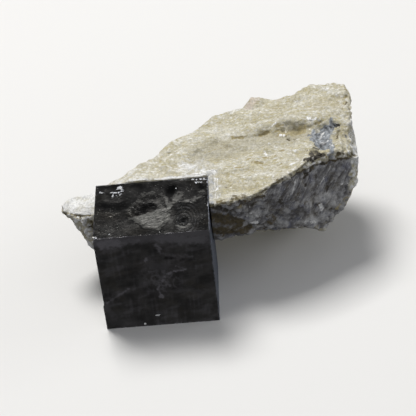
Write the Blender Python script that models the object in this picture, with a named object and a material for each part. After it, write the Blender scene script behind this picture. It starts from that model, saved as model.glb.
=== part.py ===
"""Pyrite crystal in a chunk of marl.

One brassy iron sulphide crystal, a slightly squat cuboid with a hollowed top
face, still held by its back in the elongated piece of marl in which it grew.

Frame: metres, +Z up, origin at the centre of the crystal's flat bottom face,
+X to the right along the marl, +Y to the back.  The crystal's bottom face and
the marl's broken foot rest on the plane Z = 0.
"""

import math

import bmesh
import bpy
from mathutils import Vector, noise

MM = 0.001

# Crystal
CRYSTAL_WIDTH = 20.0 * MM
CRYSTAL_DEPTH = 15.0 * MM
CRYSTAL_HEIGHT = 20.8 * MM
CRYSTAL_CHAMFER = 0.12 * MM
TOP_CELLS_X = 30
TOP_CELLS_Y = 22

# Hollow in the crystal's top face: its outline from above in millimetres, its
# deeper pocket at the back and its floor, which falls towards the front
DISH_OUTLINE = (
    (-4.1, -1.9), (-3.0, 0.7), (-1.7, 3.8), (-0.6, 4.7), (1.5, 4.2), (2.8, 2.3),
    (3.1, 0.6), (2.9, -1.8), (2.2, -5.4), (0.9, -6.4), (-1.4, -5.8), (-2.7, -4.1),
)
DISH_WALL = 0.6 * MM
DISH_BACK_DEPTH = 0.16 * MM
DISH_FRONT_DEPTH = 0.42 * MM
POCKET_CENTRE = (-1.1 * MM, 0.9 * MM)
POCKET_RADIUS = 2.3 * MM
POCKET_DEPTH = 0.38 * MM

# Round marks beside the hollow: a pit behind it and a raised growth ring in front
PIT_CENTRE = (3.5 * MM, 4.5 * MM)
PIT_RADII = (1.0 * MM, 1.4 * MM)
PIT_DEPTH = 0.4 * MM
RING_CENTRE = (5.4 * MM, -4.1 * MM)
RING_RADII = (1.35 * MM, 2.0 * MM)
RING_WIDTH = 0.75
RING_SWELL = 0.14 * MM
CORNER_CHIP = 0.35 * MM
SIDE_WAIST = 0.62

# Lower growth block, a little proud of the crystal's left side
BLOCK_HEIGHT = 5.6 * MM
BLOCK_PROUD = 0.18 * MM

# Marl: the notch that holds the crystal, and the plane of the foot
SEAT_GAP = 0.3 * MM
SEAT_REACH = 40.0 * MM
RIM_WIDTH = 1.6 * MM
RIM_HEIGHT = 0.35 * MM
GROUND_CUT_SIZE = 90.0 * MM
GROUND_CUT_DEPTH = 6.0 * MM

# Marl: cross-sections from the left tip to the right end, in millimetres.
# Each gives X and then the (Y, Z) of nine edges that run along the stone:
# ridge, shelf, brow and crest over the top, back, heel, toe, belly and cheek below.
SECTIONS = (
    (-16.9, (7.5, 15.5), (7.9, 15.9), (8.2, 16.1), (8.6, 16.2), (9.2, 15.4),
     (9.0, 14.4), (8.6, 14.1), (8.1, 14.2), (7.6, 14.8)),
    (-15.2, (6.6, 15.6), (7.7, 16.2), (8.6, 16.5), (9.8, 16.8), (11.4, 14.6),
     (10.6, 12.2), (9.4, 11.8), (8.3, 13.0), (7.0, 14.4)),
    (-12.7, (5.4, 15.9), (7.0, 16.6), (8.2, 17.0), (9.7, 17.3), (12.8, 13.4),
     (11.8, 8.8), (9.2, 7.6), (6.2, 8.4), (5.4, 12.0)),
    (-10.2, (5.0, 16.6), (7.0, 17.3), (8.4, 17.6), (9.9, 17.9), (13.8, 13.0),
     (12.6, 7.2), (9.4, 5.6), (4.8, 6.8), (4.6, 11.6)),
    (-6.0, (4.4, 19.8), (7.4, 20.3), (8.8, 20.4), (10.1, 20.5), (15.4, 13.4),
     (14.0, 5.8), (10.0, 4.6), (5.0, 7.2), (4.4, 12.6)),
    (0.0, (3.0, 20.2), (8.4, 20.8), (10.8, 20.9), (14.3, 21.0), (19.2, 13.0),
     (17.0, 3.6), (11.0, 3.6), (4.0, 8.2), (3.0, 13.6)),
    (5.6, (1.2, 20.2), (11.0, 20.9), (15.0, 21.2), (19.7, 21.5), (22.9, 12.6),
     (21.2, 1.6), (14.0, 2.0), (3.0, 9.4), (1.6, 14.6)),
    (11.4, (0.0, 20.3), (15.6, 21.3), (17.6, 21.7), (23.6, 22.0), (25.8, 12.4),
     (24.4, -0.5), (17.6, -0.5), (2.6, 10.2), (0.8, 15.2)),
    (17.0, (0.4, 21.1), (17.3, 21.6), (18.3, 22.1), (25.4, 22.5), (27.6, 13.0),
     (26.0, -0.8), (18.2, -0.8), (3.1, 11.2), (1.6, 16.2)),
    (21.6, (2.2, 22.2), (17.5, 22.1), (18.5, 23.0), (26.8, 23.1), (28.8, 13.2),
     (26.6, -0.8), (18.4, -0.8), (4.2, 10.3), (3.2, 16.0)),
    (26.4, (4.7, 23.3), (16.8, 22.8), (17.8, 23.9), (26.9, 23.7), (29.4, 14.0),
     (26.0, -0.6), (18.4, -0.6), (5.4, 9.0), (4.8, 16.2)),
    (29.8, (8.2, 23.9), (16.9, 23.1), (18.4, 24.1), (28.5, 24.2), (29.6, 14.4),
     (24.6, 1.8), (17.6, 2.2), (6.8, 7.4), (7.2, 15.6)),
    (32.0, (8.8, 23.4), (15.6, 22.9), (18.5, 24.3), (28.5, 24.5), (28.6, 14.8),
     (23.2, 4.8), (16.6, 5.0), (8.0, 9.0), (8.4, 16.2)),
    (34.0, (9.2, 22.3), (14.6, 22.9), (18.5, 24.4), (28.1, 24.7), (27.4, 15.4),
     (21.8, 7.8), (15.6, 7.6), (8.8, 10.7), (9.4, 16.2)),
    (35.8, (11.0, 20.9), (14.8, 22.9), (18.6, 24.4), (26.4, 24.8), (25.8, 17.2),
     (21.0, 11.2), (15.2, 10.6), (10.2, 13.0), (10.2, 17.0)),
    (36.7, (12.5, 20.0), (15.2, 22.2), (18.6, 23.8), (23.4, 24.4), (23.8, 18.6),
     (20.0, 14.0), (15.6, 13.2), (11.6, 15.4), (10.9, 17.6)),
)
# Steps of the mesh across each stretch between two neighbouring edges, from the ridge on
STRETCH_STEPS = (18, 3, 9, 11, 12, 8, 17, 7, 7)
RING_SPACING_X = 0.9 * MM
END_BULGE = 0.3 * MM
STONE_TRIANGLES = 6400

# Marl: lumps and chips as (centre in mm, radius in mm, height in mm)
LUMPS = (
    ((18.9, 26.6, 22.8), 2.7, 1.7),
    ((35.6, 24.5, 24.4), 2.6, 0.5),
    ((36.0, 12.2, 18.8), 1.7, 0.6),
    ((23.2, 4.4, 10.0), 1.5, 0.5),
    ((17.2, 3.2, 11.4), 1.8, 0.4),
    ((28.9, 6.6, 7.6), 1.7, 0.7),
    ((13.6, 1.0, 20.6), 1.6, 0.3),
    ((-15.9, 8.2, 15.4), 1.2, 0.4),
    ((20.5, 29.0, 12.0), 4.0, 1.0),
    ((2.0, 19.5, 12.5), 3.6, 0.9),
)
HOLLOWS = (
    ((31.2, 15.0, 23.4), 3.2, 1.5),
    ((30.6, 11.0, 23.8), 2.2, 1.3),
    ((29.6, 8.9, 24.0), 1.4, 0.8),
    ((26.4, 16.6, 23.4), 2.6, 0.7),
    ((36.9, 15.2, 19.6), 2.2, 0.8),
    ((22.9, 26.8, 23.2), 1.6, 0.6),
    ((26.0, 5.6, 9.2), 1.3, 0.5),
    ((20.8, 3.6, 13.5), 2.4, 0.6),
    ((13.4, 1.2, 17.6), 1.8, 0.4),
    ((33.0, 9.0, 13.0), 2.4, 0.5),
    ((10.5, 25.0, 10.0), 4.2, 1.2),
    ((29.0, 28.5, 8.0), 4.0, 1.1),
)
FLAKE_SIZE = 5.2 * MM
FLAKE_TILT = 0.22
ROUGH_SIZE = 3.2 * MM
ROUGH_HEIGHT = 0.38 * MM
TIP_CALM_LENGTH = 12.0 * MM
END_CALM_LENGTH = 3.5 * MM


def clear_scene():
    """Remove every object that the file holds."""
    for old in list(bpy.data.objects):
        bpy.data.objects.remove(old, do_unlink=True)


def principled(name, color, roughness, metallic):
    """Return a new material with one Principled BSDF."""
    material = bpy.data.materials.new(name)
    material.use_nodes = True
    shader = material.node_tree.nodes["Principled BSDF"]
    shader.inputs["Base Color"].default_value = (*color, 1.0)
    shader.inputs["Roughness"].default_value = roughness
    shader.inputs["Metallic"].default_value = metallic
    return material


def object_from_bmesh(name, bm, material=None):
    """Write a bmesh into a new object of the scene and free it."""
    bmesh.ops.recalc_face_normals(bm, faces=bm.faces[:])
    mesh = bpy.data.meshes.new(name)
    bm.to_mesh(mesh)
    bm.free()
    if material is not None:
        mesh.materials.append(material)
    result = bpy.data.objects.new(name, mesh)
    bpy.context.scene.collection.objects.link(result)
    return result


def smooth_fall(distance, radius):
    """Return 1 at distance 0, falling smoothly to 0 at the radius."""
    share = min(max(distance / radius, 0.0), 1.0)
    return (1.0 - share * share) ** 2


def inside_distance(x, y, outline):
    """Return how far (x, y) is inside a closed outline, or 0 outside it."""
    point = Vector((x, y))
    corners = [Vector(corner) * MM for corner in outline]
    crossings = 0
    nearest = math.inf
    for start, end in zip(corners, corners[1:] + corners[:1]):
        along = end - start
        share = min(max((point - start).dot(along) / along.length_squared, 0.0), 1.0)
        nearest = min(nearest, (point - start - along * share).length)
        if (start.y > y) != (end.y > y):
            crossings += x < start.x + along.x * (y - start.y) / along.y
    return nearest if crossings % 2 else 0.0


def dish_depth(x, y):
    """Return how deep the hollow in the crystal's top face is at (x, y)."""
    wall = min(inside_distance(x, y, DISH_OUTLINE) / DISH_WALL, 1.0)
    back = DISH_OUTLINE[3][1] * MM
    front = DISH_OUTLINE[9][1] * MM
    forward = min(max((back - y) / (back - front), 0.0), 1.0)
    floor = DISH_BACK_DEPTH + (DISH_FRONT_DEPTH - DISH_BACK_DEPTH) * forward
    pocket = math.hypot(x - POCKET_CENTRE[0], y - POCKET_CENTRE[1])
    return wall * (floor + POCKET_DEPTH * smooth_fall(pocket, POCKET_RADIUS))


def top_relief(x, y):
    """Return the height of the crystal's top face at (x, y) over its plane."""
    height = -dish_depth(x, y)
    pit = math.hypot((x - PIT_CENTRE[0]) / PIT_RADII[0], (y - PIT_CENTRE[1]) / PIT_RADII[1])
    height -= PIT_DEPTH * smooth_fall(pit, 1.0)
    ring = math.hypot((x - RING_CENTRE[0]) / RING_RADII[0], (y - RING_CENTRE[1]) / RING_RADII[1])
    return height + RING_SWELL * smooth_fall(abs(ring - 1.0), RING_WIDTH)


def build_crystal():
    """Model the crystal: a carved top face drawn down to a flat bottom face."""
    bm = bmesh.new()
    bmesh.ops.create_grid(bm, x_segments=TOP_CELLS_X, y_segments=TOP_CELLS_Y, size=0.5)
    full = (CRYSTAL_WIDTH / 2.0, CRYSTAL_DEPTH / 2.0)
    inner = (full[0] - CRYSTAL_CHAMFER, full[1] - CRYSTAL_CHAMFER)
    for vertex in bm.verts:
        x = vertex.co.x * inner[0] * 2.0
        y = vertex.co.y * inner[1] * 2.0
        vertex.co = (x, y, CRYSTAL_HEIGHT + top_relief(x, y))
    rim = [edge for edge in bm.edges if edge.is_boundary]
    for vertex in {vertex for edge in rim for vertex in edge.verts}:
        vertex.co.z = CRYSTAL_HEIGHT
    levels = (
        (CRYSTAL_HEIGHT - CRYSTAL_CHAMFER, full),
        (CRYSTAL_HEIGHT * SIDE_WAIST, full),
        (BLOCK_HEIGHT + 2.0 * CRYSTAL_CHAMFER, full),
        (BLOCK_HEIGHT, full),
        (CRYSTAL_CHAMFER, full),
        (0.0, inner),
    )
    reach = inner
    for height, next_reach in levels:
        extruded = bmesh.ops.extrude_edge_only(bm, edges=rim)["geom"]
        rim = [item for item in extruded if isinstance(item, bmesh.types.BMEdge)]
        for vertex in {vertex for edge in rim for vertex in edge.verts}:
            vertex.co.x *= next_reach[0] / reach[0]
            vertex.co.y *= next_reach[1] / reach[1]
            vertex.co.z = height
        reach = next_reach
    bmesh.ops.contextual_create(bm, geom=rim)
    chip = Vector((-full[0], -full[1], CRYSTAL_HEIGHT))
    for vertex in bm.verts:
        in_block = vertex.co.z < BLOCK_HEIGHT + CRYSTAL_CHAMFER and vertex.co.y < 0.0
        if in_block and vertex.co.x < -0.98 * full[0]:
            vertex.co.x -= BLOCK_PROUD
        if (vertex.co - chip).length < CORNER_CHIP:
            vertex.co -= chip.normalized() * CORNER_CHIP
    pyrite = principled("pyrite", (0.24, 0.21, 0.17), 0.3, 1.0)
    return object_from_bmesh("pyrite_cube", bm, pyrite)


def loop_points(section):
    """Return the closed loop of one section as points spaced along its edges."""
    x = section[0] * MM
    edges = section[1:]
    points = []
    for number, start in enumerate(edges):
        end = edges[(number + 1) % len(edges)]
        steps = STRETCH_STEPS[number]
        for step in range(steps):
            share = step / steps
            y = start[0] + (end[0] - start[0]) * share
            z = start[1] + (end[1] - start[1]) * share
            points.append(Vector((x, y * MM, z * MM)))
    return points


def stone_loops():
    """Return the loops of points from the stone's tip to its right end."""
    loops = []
    for left, right in zip(SECTIONS, SECTIONS[1:]):
        first = loop_points(left)
        last = loop_points(right)
        steps = max(1, round((right[0] - left[0]) * MM / RING_SPACING_X))
        for step in range(steps):
            share = step / steps
            loops.append([a.lerp(b, share) for a, b in zip(first, last)])
    loops.append(loop_points(SECTIONS[-1]))
    return loops


def flake_height(point):
    """Return the height of the tilted flat flakes that the stone breaks into."""
    scaled = point / FLAKE_SIZE
    distances, centres = noise.voronoi(scaled, distance_metric="DISTANCE")
    lean = noise.cell_vector(centres[0] * 7.3) - Vector((0.5, 0.5, 0.5))
    offset = scaled - centres[0]
    edge = min((distances[1] - distances[0]) / 0.12, 1.0)
    return FLAKE_TILT * FLAKE_SIZE * lean.dot(offset) * edge


def rough_height(point):
    """Return the height of the stone's lumpy grain at a point."""
    scaled = point / ROUGH_SIZE
    return ROUGH_HEIGHT * noise.fractal(scaled, 0.8, 2.1, 3)


def spot_height(point):
    """Return the height that the named lumps and hollows add at a point."""
    height = 0.0
    for centre, radius, rise in LUMPS:
        distance = (point - Vector(centre) * MM).length
        height += rise * MM * smooth_fall(distance, radius * MM)
    for centre, radius, drop in HOLLOWS:
        distance = (point - Vector(centre) * MM).length
        height -= drop * MM * smooth_fall(distance, radius * MM)
    return height


def rim_height(point):
    """Return the raised rim of marl that grips the crystal's top edges."""
    outside_x = abs(point.x) - CRYSTAL_WIDTH / 2.0
    outside_y = point.y - CRYSTAL_DEPTH / 2.0
    distance = math.hypot(max(outside_x, 0.0), max(outside_y, 0.0))
    if point.z < CRYSTAL_HEIGHT - 2.5 * MM or max(outside_x, outside_y) < 0.0:
        return 0.0
    return RIM_HEIGHT * smooth_fall(distance, RIM_WIDTH)


def end_calm(point):
    """Return how much of the roughness is left near the two thin ends."""
    from_tip = (point.x - SECTIONS[0][0] * MM) / TIP_CALM_LENGTH
    from_end = (SECTIONS[-1][0] * MM - point.x) / END_CALM_LENGTH
    return 0.25 + 0.75 * min(max(min(from_tip, from_end), 0.0), 1.0)


def build_stone_blank():
    """Model the marl before the crystal's notch is cut in it."""
    bm = bmesh.new()
    rings = [[bm.verts.new(point) for point in loop] for loop in stone_loops()]
    for ring, following in zip(rings, rings[1:]):
        for number in range(len(ring)):
            beside = (number + 1) % len(ring)
            bm.faces.new((ring[number], ring[beside], following[beside], following[number]))
    for ring, side in ((rings[0], -1.0), (rings[-1], 1.0)):
        centre = sum((vertex.co for vertex in ring), Vector()) / len(ring)
        cap = bm.verts.new(centre + Vector((side * END_BULGE, 0.0, 0.0)))
        for number in range(len(ring)):
            beside = (number + 1) % len(ring)
            bm.faces.new((ring[number], ring[beside], cap))
    bmesh.ops.recalc_face_normals(bm, faces=bm.faces[:])
    bm.normal_update()
    shifts = []
    for vertex in bm.verts:
        point = vertex.co
        height = (flake_height(point) + rough_height(point)) * end_calm(point)
        height += spot_height(point)
        shifts.append(vertex.normal * height + Vector((0.0, 0.0, rim_height(point))))
    for vertex, shift in zip(bm.verts, shifts):
        vertex.co += shift
    bmesh.ops.triangulate(bm, faces=bm.faces[:])
    marl = principled("marl", (0.62, 0.57, 0.44), 0.9, 0.0)
    return object_from_bmesh("marl_matrix", bm, marl)


def box_cutter(name, lowest, highest):
    """Add a box between two corners that only cuts other objects."""
    bm = bmesh.new()
    bmesh.ops.create_cube(bm, size=1.0)
    low = Vector(lowest)
    high = Vector(highest)
    for vertex in bm.verts:
        share = vertex.co + Vector((0.5, 0.5, 0.5))
        vertex.co = low + Vector(a * b for a, b in zip(high - low, share))
    cutter = object_from_bmesh(name, bm)
    cutter.hide_render = True
    cutter.display_type = "WIRE"
    return cutter


def cut_with(target, cutter):
    """Cut one object out of another with an exact Boolean."""
    modifier = target.modifiers.new(cutter.name, "BOOLEAN")
    modifier.operation = "DIFFERENCE"
    modifier.solver = "EXACT"
    modifier.object = cutter


def build_stone():
    """Model the marl with its crystal seat and its flat foot."""
    stone = build_stone_blank()
    thinning = stone.modifiers.new("thinning", "DECIMATE")
    thinning.ratio = STONE_TRIANGLES / len(stone.data.polygons)
    half_seat = CRYSTAL_WIDTH / 2.0 + SEAT_GAP
    seat = box_cutter(
        "seat_cutter",
        (-half_seat, -SEAT_REACH, -SEAT_REACH),
        (half_seat, CRYSTAL_DEPTH / 2.0 + SEAT_GAP, SEAT_REACH),
    )
    half_ground = GROUND_CUT_SIZE / 2.0
    ground = box_cutter(
        "ground_cutter",
        (-half_ground, -half_ground, -GROUND_CUT_DEPTH),
        (half_ground, half_ground, 0.0),
    )
    cut_with(stone, seat)
    cut_with(stone, ground)
    return stone


def main():
    """Build the crystal and the stone that holds it."""
    clear_scene()
    build_crystal()
    build_stone()


main()
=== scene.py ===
"""Looks of a pyrite crystal held in a chunk of marl.

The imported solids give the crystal's box and the stone's form.  This script dresses
them: it carves the crystal's faces, breaks up the stone's skin, strews the crumbs
of marl that still cling to the crystal, and sets floor, light and camera.
"""

import logging
import math
from collections.abc import Sequence
from dataclasses import dataclass, field
from enum import Enum
from typing import NamedTuple

import bpy
import numpy as np
from mathutils import Euler, Matrix, Vector


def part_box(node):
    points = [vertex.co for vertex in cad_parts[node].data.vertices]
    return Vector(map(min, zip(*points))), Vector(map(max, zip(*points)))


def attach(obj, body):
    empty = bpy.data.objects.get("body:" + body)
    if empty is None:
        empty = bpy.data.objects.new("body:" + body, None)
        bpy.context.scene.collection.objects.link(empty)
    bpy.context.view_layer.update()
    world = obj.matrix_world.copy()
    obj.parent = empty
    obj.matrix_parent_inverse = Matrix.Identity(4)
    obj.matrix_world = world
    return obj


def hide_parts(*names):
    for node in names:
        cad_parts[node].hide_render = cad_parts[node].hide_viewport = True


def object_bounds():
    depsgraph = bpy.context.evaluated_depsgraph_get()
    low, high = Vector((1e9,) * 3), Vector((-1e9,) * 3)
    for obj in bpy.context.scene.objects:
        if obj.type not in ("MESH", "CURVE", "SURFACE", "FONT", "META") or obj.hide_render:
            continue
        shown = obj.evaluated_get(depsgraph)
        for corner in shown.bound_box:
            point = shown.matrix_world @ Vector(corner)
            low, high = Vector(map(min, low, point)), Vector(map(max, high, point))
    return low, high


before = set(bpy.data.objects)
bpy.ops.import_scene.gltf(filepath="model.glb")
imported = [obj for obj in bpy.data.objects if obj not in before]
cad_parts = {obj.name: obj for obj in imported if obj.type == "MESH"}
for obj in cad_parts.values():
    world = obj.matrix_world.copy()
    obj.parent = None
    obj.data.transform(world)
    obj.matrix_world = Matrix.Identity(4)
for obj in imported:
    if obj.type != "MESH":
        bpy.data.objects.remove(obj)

MM = 0.001
BODY = "root"
CAD_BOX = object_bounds()

log = logging.getLogger("specimen")

Points = np.ndarray
Values = np.ndarray
Triple = tuple[float, float, float]
Outline = tuple[tuple[float, float], ...]
Path = tuple[Triple, ...]
Zones = dict[str, Values]
Piece = bpy.types.Object
Material = bpy.types.Material
Socket = bpy.types.NodeSocket
Tree = bpy.types.NodeTree

EVEN: Triple = (1.0, 1.0, 1.0)  # no stretch of a pattern
LEVEL: Triple = (0.0, 0.0, 0.0)  # no turn; all turns are in degrees
BEDDING: Triple = (0.0, 0.0, -8.0)  # turn along the marl's layers
STREAKS: Triple = (-16.0, 33.0, 0.0)  # turn along the slanting streaks of its break
FIBRES: Triple = (0.0, 0.0, 24.0)  # turn along the fibres in the crystal's hollow
AWAY_FROM_ORIGIN = 31.7  # keeps a pattern's lattice off the specimen's own middle
HASH_PRIMES = (73856093, 19349663, 83492791)
WORD = 0xFFFFFFFF  # keeps whole numbers within 32 bits
MASK_BORDER = (0.30, 0.70)  # between these values of its mask, a ragged stain fades in


# ---------------------------------------------------------------- fields over space
# Points, sizes and depths are in millimetres here and in the models below.


def hashed(cells: Points, seed: int) -> Values:
    """Give each whole-number cell one repeatable value.

    Args:
        cells: whole numbers, three to a row.
        seed: which of many unlike patterns to give.

    Returns:
        One value from -1 to 1 for each row.
    """
    keys = np.zeros(len(cells), dtype=np.int64)
    for axis, prime in enumerate(HASH_PRIMES):
        keys ^= cells[:, axis] * prime
    keys = (keys + seed * 374761393) & WORD
    for shift, factor in ((15, 2246822519), (13, 3266489917)):
        keys = ((keys ^ (keys >> shift)) * factor) & WORD
    keys = keys ^ (keys >> 16)
    return keys / (WORD >> 1) - 1.0


def ramp(values: Values, low: float, high: float) -> Values:
    """Turn values into a smooth step.

    Args:
        values: any numbers.
        low: where the step starts at 0.
        high: where it ends at 1; it may be below low.

    Returns:
        Numbers from 0 to 1.
    """
    share = np.clip((values - low) / (high - low), 0.0, 1.0)
    return share * share * (3.0 - 2.0 * share)


class Crumbling(NamedTuple):
    """Space split into crumbs round scattered centres, as each place sees its own.

    Attributes:
        away: distance to the crumb's centre.
        facet: height of a facet that is tilted its own way in each crumb.
        lot: a value from -1 to 1 that is the same all over a crumb.
    """

    away: Values
    facet: Values
    lot: Values


@dataclass(frozen=True)
class Grain:
    """A repeatable pattern of lumps of one size.

    Attributes:
        size: distance between lumps.
        seed: which of many unlike patterns to give.
        stretch: how many times longer the lumps are along the pattern's X, Y and Z.
        turn: turn of the pattern about X, Y and Z, in degrees.
    """

    size: float
    seed: int = 0
    stretch: Triple = EVEN
    turn: Triple = LEVEL

    def scaled(self, points: Points) -> Points:
        """Return the points along the pattern's own axes, in units of its lumps."""
        axes = np.array(Euler([math.radians(angle) for angle in self.turn]).to_matrix())
        return points @ axes / (np.array(self.stretch) * self.size) + AWAY_FROM_ORIGIN

    def smooth(self, points: Points) -> Values:
        """Work out a smooth field that swings between about -1 and 1.

        Args:
            points: places.

        Returns:
            One value for each place.
        """
        scaled = self.scaled(points)
        base = np.floor(scaled).astype(np.int64)
        offset = scaled - base
        fade = offset**3 * (offset * (offset * 6.0 - 15.0) + 10.0)
        total = np.zeros(len(points))
        for corner in np.ndindex(2, 2, 2):
            cell = base + np.array(corner)
            away = offset - np.array(corner)
            slope = sum(hashed(cell, self.seed + 11 * axis) * away[:, axis] for axis in range(3))
            weight = np.prod(np.where(np.array(corner) == 1, fade, 1.0 - fade), axis=1)
            total += weight * slope
        return total * 1.4

    def finer(self, layer: int) -> "Grain":
        """Return the same pattern a number of halvings smaller."""
        return Grain(self.size / 2**layer, self.seed + 101 * layer, self.stretch, self.turn)

    def layered(self, points: Points, layers: int = 3, gain: float = 0.5) -> Values:
        """Return the smooth field with finer and fainter layers added.

        Args:
            points: places.
            layers: number of layers, each half the size of the one before.
            gain: strength of each layer against the one before.

        Returns:
            Values between about -1 and 1.
        """
        return sum(gain**layer * self.finer(layer).smooth(points) for layer in range(layers))

    def ridged(self, points: Points, layers: int = 3) -> Values:
        """Return a field from about 0 to 1 with sharp crests, as on a torn surface."""
        folded = (1.0 - 2.0 * np.abs(self.finer(layer).smooth(points)) for layer in range(layers))
        return 0.5 * sum(0.5**layer * crest for layer, crest in enumerate(folded))

    def cells(self, points: Points) -> Crumbling:
        """Split space into crumbs, and say what the places lie in.

        Args:
            points: places.

        Returns:
            What crumb each place lies in, and where in it.
        """
        scaled = self.scaled(points)
        base = np.floor(scaled).astype(np.int64)
        nearest = np.full(len(points), np.inf)
        owner = np.zeros_like(base)
        offset = np.zeros_like(scaled)
        for step in np.ndindex(3, 3, 3):
            cell = base + np.array(step) - 1
            jitter = np.stack([hashed(cell, self.seed + 7 * axis) for axis in range(3)], axis=1)
            away = scaled - (cell + 0.5 + 0.45 * jitter)
            distance = np.linalg.norm(away, axis=1)
            closer = distance < nearest
            nearest = np.where(closer, distance, nearest)
            owner[closer] = cell[closer]
            offset[closer] = away[closer]
        lean = np.stack([hashed(owner, self.seed + 3 + 5 * axis) for axis in range(3)], axis=1)
        return Crumbling(nearest, np.sum(offset * lean, axis=1), hashed(owner, self.seed + 91))


def terraces(values: Values, steps: float, riser: float) -> Values:
    """Turn a smooth field into flat treads with short risers.

    Args:
        values: the field.
        steps: number of treads for each unit of the field.
        riser: share of a tread that its riser takes.

    Returns:
        The stepped field, in the same units.
    """
    raised = values * steps
    tread = np.floor(raised)
    return (tread + ramp(raised - tread, 1.0 - riser, 1.0)) / steps


def path_distance(points: Points, path: Path | Outline) -> Values:
    """Measure how far points lie from a bent line.

    Args:
        points: places, with as many coordinates as the line's points.
        path: the line's points; a single one stands for a spot.

    Returns:
        Distance to the line.
    """
    stops = np.array(path)
    nearest = np.linalg.norm(points - stops[0], axis=1)
    for first, last in zip(stops, stops[1:]):
        along = last - first
        share = np.clip((points - first) @ along / (along @ along), 0.0, 1.0)
        nearest = np.minimum(nearest, np.linalg.norm(points - first - share[:, None] * along, axis=1))
    return nearest


def inside_depth(x: Values, y: Values, outline: Outline) -> Values:
    """Measure how deep points lie inside a closed outline.

    Args:
        x: first coordinate.
        y: second coordinate.
        outline: corners, in order.

    Returns:
        Distance to the outline, positive inside and negative outside.
    """
    closed = (*outline, outline[0])
    inside = np.zeros(len(x), dtype=bool)
    for (x_1, y_1), (x_2, y_2) in zip(closed, closed[1:]):
        if y_1 != y_2:
            crossed = (y_1 > y) != (y_2 > y)
            inside ^= crossed & (x < x_1 + (x_2 - x_1) * (y - y_1) / (y_2 - y_1))
    nearest = path_distance(np.stack((x, y), axis=1), closed)
    return np.where(inside, nearest, -nearest)


# ---------------------------------------------------------------- mesh helpers


def pick_only(piece: Piece) -> None:
    """Make one object the active and only selected one.

    Args:
        piece: the object.
    """
    bpy.ops.object.select_all(action="DESELECT")
    piece.select_set(True)
    bpy.context.view_layer.objects.active = piece


def read_rows(items: bpy.types.bpy_prop_collection, name: str) -> Points:
    """Read what items hold under a name, three numbers to a row.

    Args:
        items: what to read.
        name: the property's name.

    Returns:
        One row for each item.
    """
    flat = np.zeros(len(items) * 3)
    items.foreach_get(name, flat)
    return flat.reshape(-1, 3)


def read_points(piece: Piece) -> Points:
    """Return the vertices of a piece in millimetres, one row each."""
    return read_rows(piece.data.vertices, "co") / MM


def write_points(piece: Piece, points: Points, box: Sequence[Vector]) -> None:
    """Move the vertices of a piece, kept inside a box.

    Args:
        piece: the piece.
        points: new places, in millimetres.
        box: lowest and highest corner that they may reach, in metres.
    """
    lowest, highest = np.array(box) / MM
    piece.data.vertices.foreach_set("co", (np.clip(points, lowest, highest) * MM).reshape(-1))
    piece.data.update()


def write_mask(piece: Piece, name: str, values: Values) -> None:
    """Store one number from 0 to 1 at each vertex for the finish to read.

    Args:
        piece: the piece.
        name: the mask's name.
        values: a number for each vertex.
    """
    attribute = piece.data.attributes.new(name, "FLOAT", "POINT")
    attribute.data.foreach_set("value", np.clip(values, 0.0, 1.0).astype(np.float32))


def in_edit_mode(piece: Piece) -> None:
    """Open a piece for editing with everything selected.

    Args:
        piece: the piece.
    """
    pick_only(piece)
    bpy.ops.object.mode_set(mode="EDIT")
    bpy.ops.mesh.select_all(action="SELECT")


# ---------------------------------------------------------------- shader helpers


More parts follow.
